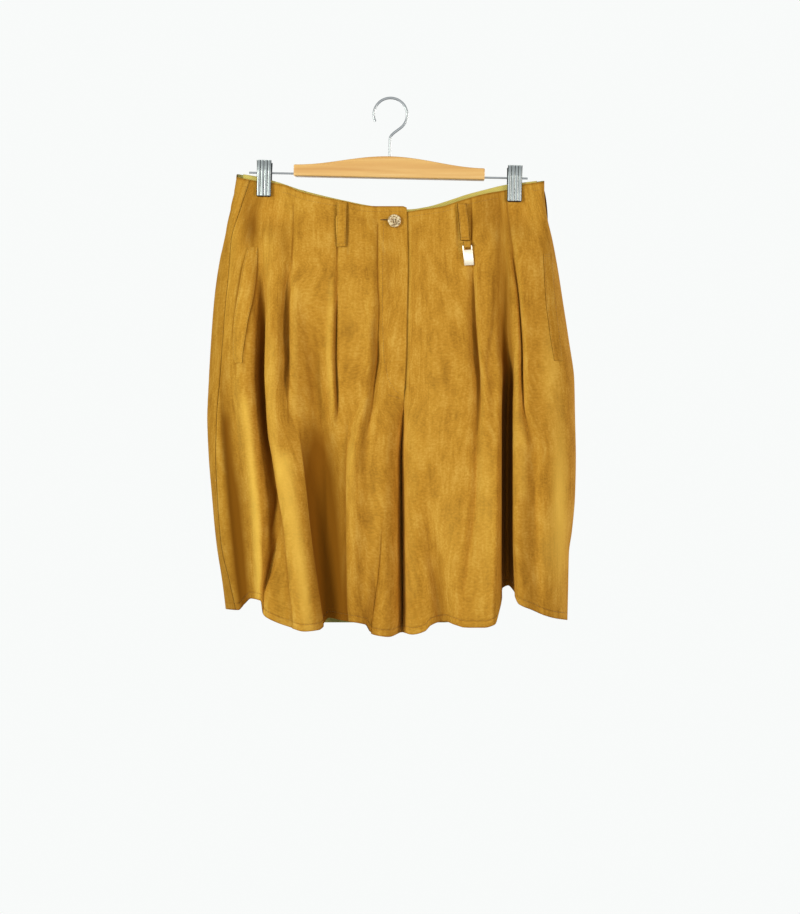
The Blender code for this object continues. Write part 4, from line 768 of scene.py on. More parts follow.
def sample(points, where):
    # the points read between their numbers
    index = np.arange(len(points))
    return np.stack([np.interp(where, index, points[:, k]) for k in range(points.shape[1])], axis=1)


def evenColumns(points, weight, count):
    # where count columns lie evenly along the cloth, closer together where it weighs more
    step = np.linalg.norm(np.diff(points[:, :3], axis=0), axis=1)
    step = step * 0.5 * (weight[:-1] + weight[1:])
    along = np.concatenate([[0.0], np.cumsum(step)])
    return np.interp(np.linspace(0.0, along[-1], count), along, np.arange(len(points)))


def panelRow(level, stretches, panel):
    # one row of a panel over its stretches of (side, x, step back)
    points, weights = [], []
    for side, x, stepBack in stretches:
        behind = side == "back"
        drop = edgeDrop(level, waistLine[side](x), hemLine[side](x))
        outwards = 1.0 if behind else -1.0
        y = clothDepth(x, drop, behind) + stepBack(x, drop) + outwards * hemRelief(x, level)
        across = x if behind else x + lipLean(x, drop)
        tone = shadeHighlightAndStains(x, drop, behind) + edgeTone(level)
        points.append(np.concatenate([place(across, drop, y), tone[:, None]], axis=1))
        weights.append(foldWeight(x, drop, behind))
    points = np.concatenate(points)
    weights = np.concatenate(weights)
    travel = stretches[0][1]
    order = np.argsort(travel)
    row, first = [points[:1]], 0.0
    for count, rail in railCurves[panel]:
        last = len(points) - 1.0
        if rail is not None:
            last = float(np.interp(rail(level), travel[order], order))
        where = np.linspace(first, last, grid["span"])
        near = sample(points, where)
        chosen = evenColumns(near, sample(weights[:, None], where)[:, 0], count * grid["columns"] + 1)
        row.append(sample(near, chosen[1:]))
        first = last
    return np.concatenate(row)


def frontRightRow(level):
    start = rightSeam(level) + 0.5 * cloth["seamGap"]
    x = np.linspace(start, centreX(level) - centreGap(level), grid["fine"])
    return panelRow(level, [("frontRight", x, nothing)], "frontRight")


def frontLeftRow(level):
    start = centreX(level) + max(float(centreGap(level)) + cloth["leftLegIn"], cloth["underStart"])
    end = leftOutline(level)
    front = start + (end - start) * np.sin(np.linspace(0.0, math.pi / 2, grid["fine"]))
    reach = cloth["leftSeamIn"] - 0.5 * cloth["seamGap"]
    behind = end - reach * np.linspace(0.0, 1.0, grid["leftRound"])[1:] ** 2
    return panelRow(level, [("frontLeft", front, underFly), ("back", behind, nothing)], "frontLeft")


def seatSeam(level):
    # the seam of the seat lies beside the fly's line, so no light comes through both
    ends = smoothStep((level - cloth["seatSeamTurns"]) / (cloth["crotch"] - cloth["seatSeamTurns"]))
    return centreX(level) + cloth["seatSeamAside"] * (1.0 - ends)


def backLeftRow(level):
    start = leftOutline(level) - cloth["leftSeamIn"] - 0.5 * cloth["seamGap"]
    end = seatSeam(level) + centreGap(level)
    x = start + (end - start) * np.linspace(0.0, 1.0, grid["fine"]) ** 1.5
    return panelRow(level, [("back", x, nothing)], "backLeft")


def backRightRow(level):
    start = seatSeam(level) - centreGap(level)
    edge = rightOutline(level)
    seam = rightSeam(level) - 0.5 * cloth["seamGap"]
    behind = start + (edge - start) * np.sin(np.linspace(0.0, math.pi / 2, grid["fine"]))
    front = edge + (seam - edge) * np.linspace(0.0, 1.0, grid["rightRound"])[1:] ** 2
    return panelRow(level, [("back", behind, nothing), ("frontRight", front, nothing)], "backRight")


def legRow(level, corner, side, behind):
    # the inner side of a leg, from the corner of its front or back to the inseam
    share = np.linspace(0.0, 1.0, grid["legColumns"] + 1)[1:]
    crotch = cloth["crotch"]
    down = np.clip((level - crotch) / (cloth["hemLevel"] - crotch), 0.0, 1.0)
    endY = cloth["inseamY"] + (0.5 if behind else -0.5) * cloth["seamGap"]
    y = corner[1] + (endY * mm - corner[1]) * share
    dropDown = (cloth["inseamTop"] - crotch) * (1.0 - down) * share ** cloth["sagRound"]
    # the legs hang closed: both inner sides sway the same way, so no light comes through
    apart = side * cloth["inseamApart"] * down
    sway = cloth["inseamSway"] * smoothStep(down / cloth["inseamSwayIn"])
    across = (apart + sway) * np.sin(share * math.pi / 2)
    # painted shade, deepening into the leg's hidden inner side
    tone = corner[3] + innerShade["leg"] * share
    return np.stack([corner[0] + across * mm, y, corner[2] - dropDown * mm, tone], axis=1)


def underlapRow(level):
    share = np.linspace(0.0, 1.0, grid["legColumns"] + 1)[1:]
    x = centreX(level) + cloth["underStart"] - cloth["underlap"] * share
    drop = edgeDrop(level, waistLine["frontLeft"](x), cloth["hemLevel"])
    spots = place(x, drop, clothDepth(x, drop, False) + underFly(x, drop))
    # painted shade on the hidden underlap
    return np.concatenate([spots, np.full((len(x), 1), innerShade["underlap"])], axis=1)


def levelList():
    found = []
    stretches = grid["levels"]
    for (start, step), (end, _) in zip(stretches, stretches[1:]):
        found += list(np.arange(start, end - 0.01, step))
    found += [stretches[-1][0], cloth["crotch"], cloth["flyEnd"]]
    return sorted(set(round(float(level), 3) for level in found))


def stainsAndPaintedLight(points, tone):
    # painted shade: darker where the cloth turns away from the stronger softbox, towards +x in front and -x
    # behind
    across = np.gradient(points, axis=1)
    down = np.gradient(points, axis=0)
    normal = np.cross(down, across)
    length = np.linalg.norm(normal, axis=-1)
    sideways = normal[..., 0] / np.maximum(length, 1e-12)
    return tone + awayShade * np.clip(sideways, -0.9, 0.9) * np.sign(-np.median(normal[..., 1]))


def clothMesh(name, points, dropped=None, shift=0.0):
    # a grid through the points, with a map in metres that follows the cloth
    rows, columns = points.shape[:2]
    tone = points[..., 3] if points.shape[2] > 3 else np.zeros((rows, columns))
    points = points[..., :3]
    tone = stainsAndPaintedLight(points, tone)
    bm = bmesh.new()
    bmesh.ops.create_grid(bm, x_segments=columns - 1, y_segments=rows - 1, size=0.5)
    if dropped is not None:
        unwanted = []
        for face in bm.faces:
            middle = face.calc_center_median()
            row = int((0.5 - middle.y) * (rows - 1))
            column = int((middle.x + 0.5) * (columns - 1))
            if dropped(row, column):
                unwanted.append(face)
        bmesh.ops.delete(bm, geom=unwanted, context="FACES")
    mesh = bpy.data.meshes.new(name)
    bm.to_mesh(mesh)
    bm.free()
    flat = np.empty(len(mesh.vertices) * 3)
    mesh.vertices.foreach_get("co", flat)
    flat = flat.reshape(-1, 3)
    row = np.rint((0.5 - flat[:, 1]) * (rows - 1)).astype(int)
    column = np.rint((flat[:, 0] + 0.5) * (columns - 1)).astype(int)
    mesh.vertices.foreach_set("co", points[row, column].ravel())
    across = np.linalg.norm(np.diff(points, axis=1), axis=2).mean(axis=0)
    down = np.linalg.norm(np.diff(points, axis=0), axis=2).mean(axis=1)
    across = np.concatenate([[0.0], np.cumsum(across)]) + shift
    down = np.concatenate([[0.0], np.cumsum(down)])
    corner = np.empty(len(mesh.loops), dtype=np.int32)
    mesh.loops.foreach_get("vertex_index", corner)
    clothMap = mesh.uv_layers.new(name="clothMap")
    clothMap.data.foreach_set("uv", np.stack([across[column[corner]], down[row[corner]]], 1).ravel())
    # the tone read by the suede: stains, painted shade and painted highlights
    toneLayer = mesh.attributes.new("stainsAndPaintedLight", "FLOAT", "POINT")
    toneLayer.data.foreach_set("value", tone[row, column].ravel())
    mesh.polygons.foreach_set("use_smooth", [True] * len(mesh.polygons))
    mesh.update()
    return mesh


def addPiece(name, mesh, materials, nodes=(), body="shorts"):
    piece = bpy.data.objects.new(name, mesh)
    bpy.context.scene.collection.objects.link(piece)
    for material in materials:
        mesh.materials.append(material)
    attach(piece, body)
    if nodes:
        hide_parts(*nodes)
    return piece


def addWall(piece, thickness, inside=0, rim=0):
    wall = piece.modifiers.new("wall", "SOLIDIFY")
    wall.thickness = thickness * mm
    wall.offset = 0.0
    wall.material_offset = inside
    wall.material_offset_rim = rim
    return wall


def addNode(tree, kind, settings=(), links=()):
    # settings go to the node's own fields or to its sockets; links are (socket, where it comes from)
    node = tree.nodes.new(kind)
    for key, value in settings:
        if isinstance(key, str) and hasattr(node, key):
            setattr(node, key, value)
        else:
            node.inputs[key].default_value = value
    for key, source in links:
        tree.links.new(source, node.inputs[key])
    return node


def linear(colour):
    # sRGB hex to the linear colour that the shaders take
    parts = [int(colour[k:k + 2], 16) / 255.0 for k in (1, 3, 5)]
    return tuple(c / 12.92 if c <= 0.04045 else ((c + 0.055) / 1.055) ** 2.4 for c in parts) + (1.0,)


def newMaterial(name, settings):
    material = bpy.data.materials.new(name)
    material.use_nodes = True
    tree = material.node_tree
    shader = tree.nodes["Principled BSDF"]
    for key, value in settings:
        shader.inputs[key].default_value = value
    return material, tree, shader


def setRamp(ramp, stops):
    # stops are (place, colour)
    band = ramp.color_ramp
    while len(band.elements) < len(stops):
        band.elements.new(0.5)
    for element, (at, colour) in zip(band.elements, stops):
        element.position = at
        element.color = linear(colour)


suedeLook = {
    "deep": "#98691F",         # nap stroked flat, and soaked places
    "middle": "#BC882E",
    "light": "#D2A449",        # nap brushed up
    "brushed": "#F4C859",      # painted highlight on lit ridges and on the side turned to the light, and paler places
    "fold": "#80500F",         # painted shade in the folds, under the lips and between the legs, and the darker stains
    "streakWide": 4.2,         # mm between the soft streaks that run down the hide
    "streakLong": 42.0,
    "cloudSize": 20.0,         # mm, mottling of the hide
    "cloudLong": 44.0,
    "fleckSize": 2.6,          # mm, drawn coarser than the real 1 mm tufts so that it shows
    "napSize": 1.1,
    "napHeight": 0.12,         # mm
    "streakWeight": 0.6,
    "fleckWeight": 0.75,
}


def makeSuede(name, look):
    # goat suede, the flesh side buffed to a short nap: no gloss, a dusty glow where it turns away
    material, tree, shader = newMaterial(name, (
        ("Roughness", 0.95), ("Specular IOR Level", 0.06), ("Sheen Weight", 0.04),
        ("Sheen Roughness", 0.45), ("Sheen Tint", linear("#FFDF9A"))))
    where = addNode(tree, "ShaderNodeTexCoord").outputs["UV"]

    def noise(size, detail, long=None):
        stretch = (1.0 / (size * mm), 1.0 / ((long or size) * mm), 1.0)
        mapped = addNode(tree, "ShaderNodeMapping", (("Scale", stretch),), (("Vector", where),))
        return addNode(tree, "ShaderNodeTexNoise", (("Scale", 1.0), ("Detail", detail), ("Roughness", 0.6)),
                       (("Vector", mapped.outputs["Vector"]),)).outputs["Fac"]

    def weigh(source, amount, rest):
        # rest + (source - 0.5) * amount
        centred = addNode(tree, "ShaderNodeMath", (("operation", "SUBTRACT"), (1, 0.5)), ((0, source),))
        return addNode(tree, "ShaderNodeMath", (("operation", "MULTIPLY_ADD"), (1, amount)),
                       ((0, centred.outputs[0]), (2, rest))).outputs[0]

    clouds = noise(look["cloudSize"], 4.0, look["cloudLong"])
    streaks = noise(look["streakWide"], 3.0, look["streakLong"])
    flecks = noise(look["fleckSize"], 3.0)
    mixed = weigh(streaks, look["streakWeight"], clouds)
    mixed = weigh(flecks, look["fleckWeight"], mixed)
    ramp = addNode(tree, "ShaderNodeValToRGB", (), (("Fac", mixed),))
    setRamp(ramp, ((0.15, look["deep"]), (0.5, look["middle"]), (0.85, look["light"])))
    tone = addNode(tree, "ShaderNodeAttribute", (("attribute_name", "stainsAndPaintedLight"),))
    # painted shade in folds, under lips and between the legs, with the stains: towards the fold colour where
    # the tone is positive
    shadedAndStained = addNode(tree, "ShaderNodeMix", (("data_type", "RGBA"),), (
        (0, tone.outputs["Fac"]), (6, ramp.outputs["Color"])))
    shadedAndStained.inputs[7].default_value = linear(look["fold"])
    # painted highlight, with paler places: towards the brushed colour where the tone is negative
    paler = addNode(tree, "ShaderNodeMath", (("operation", "MULTIPLY"), (1, -1.0)),
                    ((0, tone.outputs["Fac"]),))
    brushed = addNode(tree, "ShaderNodeMix", (("data_type", "RGBA"),), (
        (0, paler.outputs[0]), (6, shadedAndStained.outputs[2])))
    brushed.inputs[7].default_value = linear(look["brushed"])
    tree.links.new(brushed.outputs[2], shader.inputs["Base Color"])
    nap = noise(look["napSize"], 2.0)
    bump = addNode(tree, "ShaderNodeBump", (("Strength", 0.5), ("Distance", look["napHeight"] * mm)),
                   (("Height", nap),))
    tree.links.new(bump.outputs["Normal"], shader.inputs["Normal"])
    return material


def makeFinish(name, shaderSettings, coordinates, layout, pattern, patternSettings, stops, bump=None):
    # a finish with one pattern, laid out on the piece, coloured by a ramp and felt as a bump of
    # (strength, depth in mm)
    material, tree, shader = newMaterial(name, shaderSettings)
    where = addNode(tree, "ShaderNodeTexCoord").outputs[coordinates]
    mapped = addNode(tree, "ShaderNodeMapping", layout, (("Vector", where),))
    drawn = addNode(tree, pattern, patternSettings, (("Vector", mapped.outputs["Vector"]),))
    ramp = addNode(tree, "ShaderNodeValToRGB", (), (("Fac", drawn.outputs["Fac"]),))
    setRamp(ramp, stops)
    tree.links.new(ramp.outputs["Color"], shader.inputs["Base Color"])
    if bump:
        relief = addNode(tree, "ShaderNodeBump", (("Strength", bump[0]), ("Distance", bump[1] * mm)),
                         (("Height", drawn.outputs["Fac"]),))
        tree.links.new(relief.outputs["Normal"], shader.inputs["Normal"])
    return material


def makeFleshSide():
    # the smooth side of the hide that faces the wearer, dyed olive and faintly grained
    material, tree, shader = newMaterial("hideInside", (
        ("Roughness", 0.6), ("Specular IOR Level", 0.3), ("Sheen Weight", 0.1)))
    where = addNode(tree, "ShaderNodeTexCoord").outputs["UV"]
    mapped = addNode(tree, "ShaderNodeMapping", (("Scale", (60.0, 60.0, 1.0)),), (("Vector", where),))
    clouds = addNode(tree, "ShaderNodeTexNoise", (("Scale", 1.0), ("Detail", 4.0)),
                     (("Vector", mapped.outputs["Vector"]),))
    ramp = addNode(tree, "ShaderNodeValToRGB", (), (("Fac", clouds.outputs["Fac"]),))
    setRamp(ramp, ((0.3, "#7E7A3A"), (0.7, "#A39C52")))
    tree.links.new(ramp.outputs["Color"], shader.inputs["Base Color"])
    grain = addNode(tree, "ShaderNodeTexVoronoi", (("Scale", 22.0),), (("Vector", mapped.outputs["Vector"]),))
    bump = addNode(tree, "ShaderNodeBump", (("Strength", 0.3), ("Distance", 0.08 * mm)),
                   (("Height", grain.outputs["Distance"]),))
    tree.links.new(bump.outputs["Normal"], shader.inputs["Normal"])
    return material


suede = makeSuede("goldSuede", suedeLook)
hideInside = makeFleshSide()
# cotton twill tape, pale yellow-green; threads 0.5 mm apart drawn at 0.9 mm so that they show
twillSpacing = 0.9 * mm
facingTwill = makeFinish(
    "facingTwill", (("Roughness", 0.85), ("Specular IOR Level", 0.2), ("Sheen Weight", 0.15)),
    "UV", (("Rotation", (0.0, 0.0, math.radians(45.0))),),
    "ShaderNodeTexWave", (("Scale", 1.0 / (20.0 * twillSpacing) * 6.28 / 2.0), ("Distortion", 0.6)),
    ((0.0, "#B9A94E"), (1.0, "#DCCB76")), (0.4, 0.15))
# the trimmed cut edge of the suede, drawn darker still as painted shade that outlines the gaps round the belt
# loops and pocket edges
cutEdgeAndGapShade = makeFinish(
    "cutEdgeAndGapShade", (("Roughness", 0.9), ("Specular IOR Level", 0.1)),
    "UV", (("Scale", (400.0, 400.0, 1.0)),), "ShaderNodeTexNoise", (("Scale", 1.0),),
    ((0.3, "#3E2708"), (0.7, "#5E3E12")))
# polyester sewing thread, a shade darker than the suede, with a soft shine and a fine twist
sewingThread = makeFinish(
    "sewingThread", (("Roughness", 0.5), ("Specular IOR Level", 0.4), ("Sheen Weight", 0.1)),
    "Object", (), "ShaderNodeTexWave", (("Scale", 900.0), ("Distortion", 0.5)),
    ((0.0, "#6E4C14"), (1.0, "#96702C")))
print("cloth materials made")


def panelPoints(rowOf, side, behind, cornerFirst, lapped, levels):
    # the rows of a panel, each carried on into the leg's inner side or the fly's underlap
    rows = []
    for level in levels:
        row = rowOf(level)
        corner = row[0] if cornerFirst else row[-1]
        lap = lapped and level <= cloth["flyEnd"]
        inner = underlapRow(level) if lap else legRow(level, corner, side, behind)
        rows.append(np.concatenate([inner[::-1], row] if cornerFirst else [row, inner]))
    return np.array(rows)


def makePanel(node, rowOf, side, behind, cornerFirst, shift, lapped=False):
    # side is -1 for the wearer's right leg; shift moves the hide's pattern along, m
    levels = levelList()
    points = panelPoints(rowOf, side, behind, cornerFirst, lapped, levels)
    crotchRow = levels.index(cloth["crotch"])
    flyRow = levels.index(cloth["flyEnd"]) if lapped else 0
    columns = points.shape[1]
    legColumns = grid["legColumns"]

    def betweenFlyAndCrotch(row, column):
        inner = column < legColumns if cornerFirst else column >= columns - 1 - legColumns
        return inner and flyRow <= row < crotchRow

    mesh = clothMesh(node + "_suede", points, betweenFlyAndCrotch, shift)
    piece = addPiece(node + "_suede", mesh, (suede, hideInside, cutEdgeAndGapShade), (node,))
    addWall(piece, cloth["suede"], inside=1, rim=2)
    print("panel", node, points.shape)


makePanel("front_right", frontRightRow, -1, False, False, 0.0)
makePanel("front_left", frontLeftRow, 1, False, True, 0.7, lapped=True)
makePanel("back_left", backLeftRow, 1, True, False, 1.4)
makePanel("back_right", backRightRow, -1, True, True, 2.1)


# what is sewn on: a strip is a sheet of suede that follows the panel under it
trim = {
    "loopSuede": 1.3,
    "loopGap": 0.5,
    "loopStandsOff": 1.6,      # middle of a belt loop above its sewn ends
    "loopEdge": 1.6,           # stitch line in from a belt loop's edge
    "loopRows": 36,
    "loopColumns": 9,
    "loopTacks": (2.2, 3.4),   # the stitches across a loop, in from its upper and lower end
    "loopTackIn": 0.8,
    "tackPitch": 1.9,
    "weltSuede": 0.8,
    "weltGap": 0.15,           # a pressed pocket edge lies nearly flush
    "weltEdge": 1.5,
    "weltRows": 60,
    "weltColumns": 14,
    "weltTacks": (1.4, 3.6),
    "weltTackIn": 1.0,
    "facingTape": 0.9,
    "facingGap": 1.0,
    "facingBelow": -0.9,       # it stands a little above the suede
    "facingFrom": -203.0,
    "facingTo": 177.0,
    "facingWide": 45.0,
    "facingRows": 16,
    "facingColumns": 220,
    "bevel": 0.6,              # widest rounding of a strip's edge, and its share of the thickness
    "bevelShare": 0.42,
}
# side, upper drop, lower drop, x left at the top and bottom, x right at the top and bottom
beltLoops = {
    "belt_loop_right": ("frontRight", 31.5, 89.0, -80.6, -81.8, -69.0, -70.6),
    "belt_loop_left": ("frontLeft", 32.5, 81.0, 74.2, 78.6, 85.6, 90.6),
    "belt_loop_back_right": ("back", -3.0, 52.0, -208.0, -216.2, -198.4, -206.2),
    "belt_loop_back_left": ("back", 5.5, 61.0, 174.5, 181.0, 184.4, 190.6),
}
# side, then drop, x towards the left, x towards the right
welts = {
    "pocket_welt_right": ("frontRight", (
        (90, -198, -185), (119, -205, -187), (142, -208.5, -189.5), (163, -212, -193),
        (182, -215, -197), (207, -216.5, -201), (229, -217, -204), (240, -213, -204.5))),
    "pocket_welt_left": ("frontLeft", (
        (98, 186, 197), (126, 187, 199.5), (158, 189, 202), (198, 194, 206.5), (237, 200, 211))),
}
stitch = {
    "pitch": 3.1,
    "long": 2.3,
    "thick": 0.42,
    "high": 0.4,               # half height as a share of the thickness
    "tight": 2.3,              # pitch on the small pieces
    "lift": 0.05,              # middle of the thread above the cloth's face
    "follow": 1.5,             # mm between the points that a line of stitches is led by
}
onFace = 0.5 * cloth["suede"] + stitch["lift"]


def stripPiece(node, side, left, right, drops, out, columns, thickness, shift, edgeOf=-1):
    # left, right and out give x, x and height over the panel's middle at a drop; edgeOf is the
    # slot of the material that the rounded edges take
    rows = []
    for drop in drops:
        x = np.linspace(float(left(drop)), float(right(drop)), columns)
        rows.append(onCloth(x, np.full(columns, float(drop)), np.full(columns, out(drop)), side)[0])
    mesh = clothMesh(node + "_strip", np.array(rows), None, shift)
    piece = addPiece(node + "_strip", mesh, (suede, cutEdgeAndGapShade), (node,))
    # the sides (and the belt loops' rounded edges) take the dark cut edge, which paints the shade in the gap
    # round the strip
    addWall(piece, thickness, rim=1)
    edge = piece.modifiers.new("softEdge", "BEVEL")
    edge.width = min(trim["bevel"], trim["bevelShare"] * thickness) * mm
    edge.material = edgeOf
    edge.segments = 2
    edge.limit_method = "ANGLE"


def addStitches(bm, points, normals, pitch=None):
    # thread along a line on the cloth: long flat beads that sink into it at both ends
    step = np.linalg.norm(np.diff(points, axis=0), axis=1)
    along = np.concatenate([[0.0], np.cumsum(step)])
    pitch = (pitch or stitch["pitch"]) * mm
    half = 0.5 * stitch["long"] * pitch / stitch["pitch"]
    thick = stitch["thick"] * mm
    for k in range(int(along[-1] / pitch)):
        at = (k + 0.5) * pitch
        here, start, end = (
            Vector([np.interp(a, along, points[:, i]) for i in range(3)])
            for a in (at, at - 0.5 * pitch, at + 0.5 * pitch))
        up = Vector([np.interp(at, along, normals[:, i]) for i in range(3)]).normalized()
        run = (end - start).normalized()
        side = up.cross(run).normalized()
        axes = Matrix((run, side, up)).transposed().to_4x4()
        size = Matrix.Diagonal((half, 0.5 * thick, stitch["high"] * thick, 1.0))
        bmesh.ops.create_uvsphere(bm, u_segments=6, v_segments=4, radius=1.0,
                                  matrix=Matrix.Translation(here) @ axes @ size)


def makeStitching(name, lines, nodes=()):
    whole = bmesh.new()
    row = bpy.data.meshes.new(name + "_row")
    for points, normals, pitch in lines:
        bm = bmesh.new()
        addStitches(bm, points, normals, pitch)
        bm.to_mesh(row)
        bm.free()
        whole.from_mesh(row)
    bpy.data.meshes.remove(row)
    for face in whole.faces:
        face.smooth = True
    mesh = bpy.data.meshes.new(name)
    whole.to_mesh(mesh)
    whole.free()
    return addPiece(name, mesh, (sewingThread,), nodes)


def lineOnCloth(side, x, drop, out, pitch=None):
    # x and drop of a line's points, rounded between them
    run = np.concatenate([[0.0], np.cumsum(np.hypot(np.diff(x), np.diff(drop)))])
    fine = np.linspace(0.0, run[-1], max(int(run[-1] / stitch["follow"]), 3))
    fineX, fineDrop = np.interp(fine, run, x), np.interp(fine, run, drop)
    return *onCloth(fineX, fineDrop, np.full(len(fine), out), side), pitch


def makeBeltLoop(node):
    side, top, bottom, leftTop, leftBottom, rightTop, rightBottom = beltLoops[node]
    sewn = 0.5 * cloth["suede"] + trim["loopGap"] + 0.5 * trim["loopSuede"]

    def out(drop):
        share = np.clip((drop - top) / (bottom - top), 0.0, 1.0)
        return sewn + trim["loopStandsOff"] * float(np.sin(math.pi * share)) ** 0.5

    left = curveThrough(((top, leftTop), (bottom, leftBottom)))
    right = curveThrough(((top, rightTop), (bottom, rightBottom)))
    drops = np.linspace(top, bottom, trim["loopRows"])
    stripPiece(node, side, left, right, drops, out, trim["loopColumns"], trim["loopSuede"], 0.3, edgeOf=1)
    lines = []
    over = 0.5 * trim["loopSuede"]
    level = drops[1:-1]
    height = np.array([out(d) for d in level]) + over
    for edge, inwards in ((left, trim["loopEdge"]), (right, -trim["loopEdge"])):
        lines.append((*onCloth(edge(level) + inwards, level, height, side), stitch["tight"]))
    below, above = trim["loopTacks"]
    for level in (top + below, bottom - above):
        x = np.linspace(float(left(level)) + trim["loopTackIn"], float(right(level)) - trim["loopTackIn"], 8)
        across = onCloth(x, np.full(8, level), np.full(8, out(level) + over), side)
        lines.append((*across, trim["tackPitch"]))
    return lines


def makeWelt(node):
    side, rows = welts[node]
    height = 0.5 * cloth["suede"] + trim["weltGap"] + 0.5 * trim["weltSuede"]
    left, right = curveThrough(rows, 1), curveThrough(rows, 2)
    top, bottom = rows[0][0], rows[-1][0]
    drops = np.linspace(top, bottom, trim["weltRows"])
    stripPiece(node, side, left, right, drops, lambda _: height, trim["weltColumns"], trim["weltSuede"], 0.9)
    edge = trim["weltEdge"]
    over = height + 0.5 * trim["weltSuede"]
    level = drops[2:-1]
    lines = [
        lineOnCloth(side, left(level) + edge, level, over),
        lineOnCloth(side, right(level) - edge, level, over),
    ]
    for level in (top + below for below in trim["weltTacks"]):
        x = np.linspace(float(left(level)) + trim["weltTackIn"], float(right(level)) - trim["weltTackIn"], 6)
        lines.append(lineOnCloth(side, x, np.full(6, level), over, stitch["tight"]))
    return lines


def makeFacing():
    x = np.linspace(trim["facingFrom"], trim["facingTo"], trim["facingColumns"])
    inside = -(0.5 * cloth["suede"] + trim["facingGap"] + 0.5 * trim["facingTape"])
    waistDrop = waistLine["back"](x)
    rows = []
    for level in np.linspace(0.0, trim["facingWide"], trim["facingRows"]):
        drop = edgeDrop(level, waistDrop, cloth["hemLevel"]) + (trim["facingBelow"] if level == 0 else 0.0)
        rows.append(onCloth(x, drop, np.full(len(x), inside), "back")[0])
    mesh = clothMesh("waistFacing", np.array(rows))
    piece = addPiece("waistFacing", mesh, (facingTwill,), ("waist_facing",))
    addWall(piece, trim["facingTape"])


threadLines = []
for node in beltLoops:
    threadLines += makeBeltLoop(node)
for node in welts:
    threadLines += makeWelt(node)
makeFacing()
print("belt loops, pocket edges and facing made")


sewnLines = {
    # how far the hem's rows keep off the edges of their panels
    "hemSeam": 2.0,
    "hemLeft": 3.0,
    "hemBackRight": 4.0,
    "hemBackLeft": 12.0,
    "hemGap": 2.0,             # and off the gap between the legs
    "hemPoints": 160,
    "waist": (-206.0, 184.0),
    "waistBelow": 10.5,
    "waistGap": 3.0,           # kept off the fly's edge
    "waistPoints": 140,
    # the fly's stitching, x and drop down the line, and the bar tack at its end
    "fly": ((-21.5, 52), (-22.5, 120), (-22.5, 190), (-20.5, 236), (-15, 262), (-6, 276), (3.5, 283)),
    "flyPoints": 60,
    "tack": ((-16, 281), (3, 287)),
    "tackPitch": 1.8,
}


def hemLines():
    # one row of stitches above each hem, front and back
    lines = []
    level = cloth["hemLevel"] - sewnHem["stitchAbove"]
    middle = float(centreX(level))
    gap = float(centreGap(level)) + sewnLines["hemGap"]
    spans = (
        ("frontRight", float(rightSeam(level)) + sewnLines["hemSeam"], middle - gap),
        ("frontLeft", middle + gap, float(leftOutline(level)) - sewnLines["hemLeft"]),
        ("back", float(rightOutline(level)) + sewnLines["hemBackRight"], middle - gap),
        ("back", middle + gap, float(leftOutline(level)) - sewnLines["hemBackLeft"]),
    )
    for side, start, end in spans:
        x = np.linspace(start, end, sewnLines["hemPoints"])
        drop = edgeDrop(level, waistLine[side](x), hemLine[side](x))
        lines.append((*onCloth(x, drop, np.full(len(x), onFace), side), None))
    return lines


def waistLines():
    # the facing is caught by one row of stitches below the waist edge
    lines = []
    middle = float(centreX(0.0))
    first, last = sewnLines["waist"]
    gap = sewnLines["waistGap"]
    for side, start, end in (("frontRight", first, middle - gap), ("frontLeft", middle + gap, last)):
        x = np.linspace(start, end, sewnLines["waistPoints"])
        drop = edgeDrop(sewnLines["waistBelow"], waistLine[side](x), 0.0)
        # none under the clips
        kept = pinch(x, drop) < 0.9
        for part in np.split(np.arange(len(x)), np.where(np.diff(kept.astype(int)) != 0)[0] + 1):
            if kept[part[0]] and len(part) > 6:
                lines.append(lineOnCloth(side, x[part], drop[part], onFace))
    return lines


def flyLines():
    x, drop = np.array(sewnLines["fly"], float).T
    t = np.linspace(0, len(x) - 1, sewnLines["flyPoints"])
    x = np.interp(t, np.arange(len(x)), x)
    drop = np.interp(t, np.arange(len(drop)), drop)
    tackX, tackDrop = np.linspace(*sewnLines["tack"], 8).T
    return [lineOnCloth("frontRight", x, drop, onFace),
            lineOnCloth("frontRight", tackX, tackDrop, onFace, sewnLines["tackPitch"])]


threadLines += hemLines() + waistLines() + flyLines()
makeStitching("stitching", threadLines)
print("stitches made:", len(threadLines), "rows")


def makeMetal(name, colour, roughness, brushed=0.0):
    # plated steel: brushed gives the fine lines left by rolling, in strength
    material, tree, shader = newMaterial(name, (("Base Color", linear(colour)), ("Metallic", 1.0)))
    where = addNode(tree, "ShaderNodeTexCoord").outputs["Object"]
    mapped = addNode(tree, "ShaderNodeMapping", (("Scale", (900.0, 900.0, 60.0)),), (("Vector", where),))
    lines = addNode(tree, "ShaderNodeTexNoise", (("Scale", 1.0), ("Detail", 3.0)),
                    (("Vector", mapped.outputs["Vector"]),))
    worn = addNode(tree, "ShaderNodeMapRange", (
        ("From Min", 0.3), ("From Max", 0.7), ("To Min", roughness - 0.05), ("To Max", roughness + 0.1)),
        (("Value", lines.outputs["Fac"]),))
    tree.links.new(worn.outputs["Result"], shader.inputs["Roughness"])
    if brushed:
        bump = addNode(tree, "ShaderNodeBump", (("Strength", brushed), ("Distance", 0.03 * mm)),
                       (("Height", lines.outputs["Fac"]),))
        tree.links.new(bump.outputs["Normal"], shader.inputs["Normal"])
    return material


hangerWire = makeMetal("hangerWire", "#8F9396", 0.28)
clipSteel = makeMetal("clipSteel", "#8A9092", 0.34, brushed=0.3)
clipGrooveShade = makeMetal("clipGrooveShade", "#2C3032", 0.5)    # painted shade: the steel drawn dull and dark between the flutes
tagMetal = makeMetal("tagMetal", "#F4EBD6", 0.42)
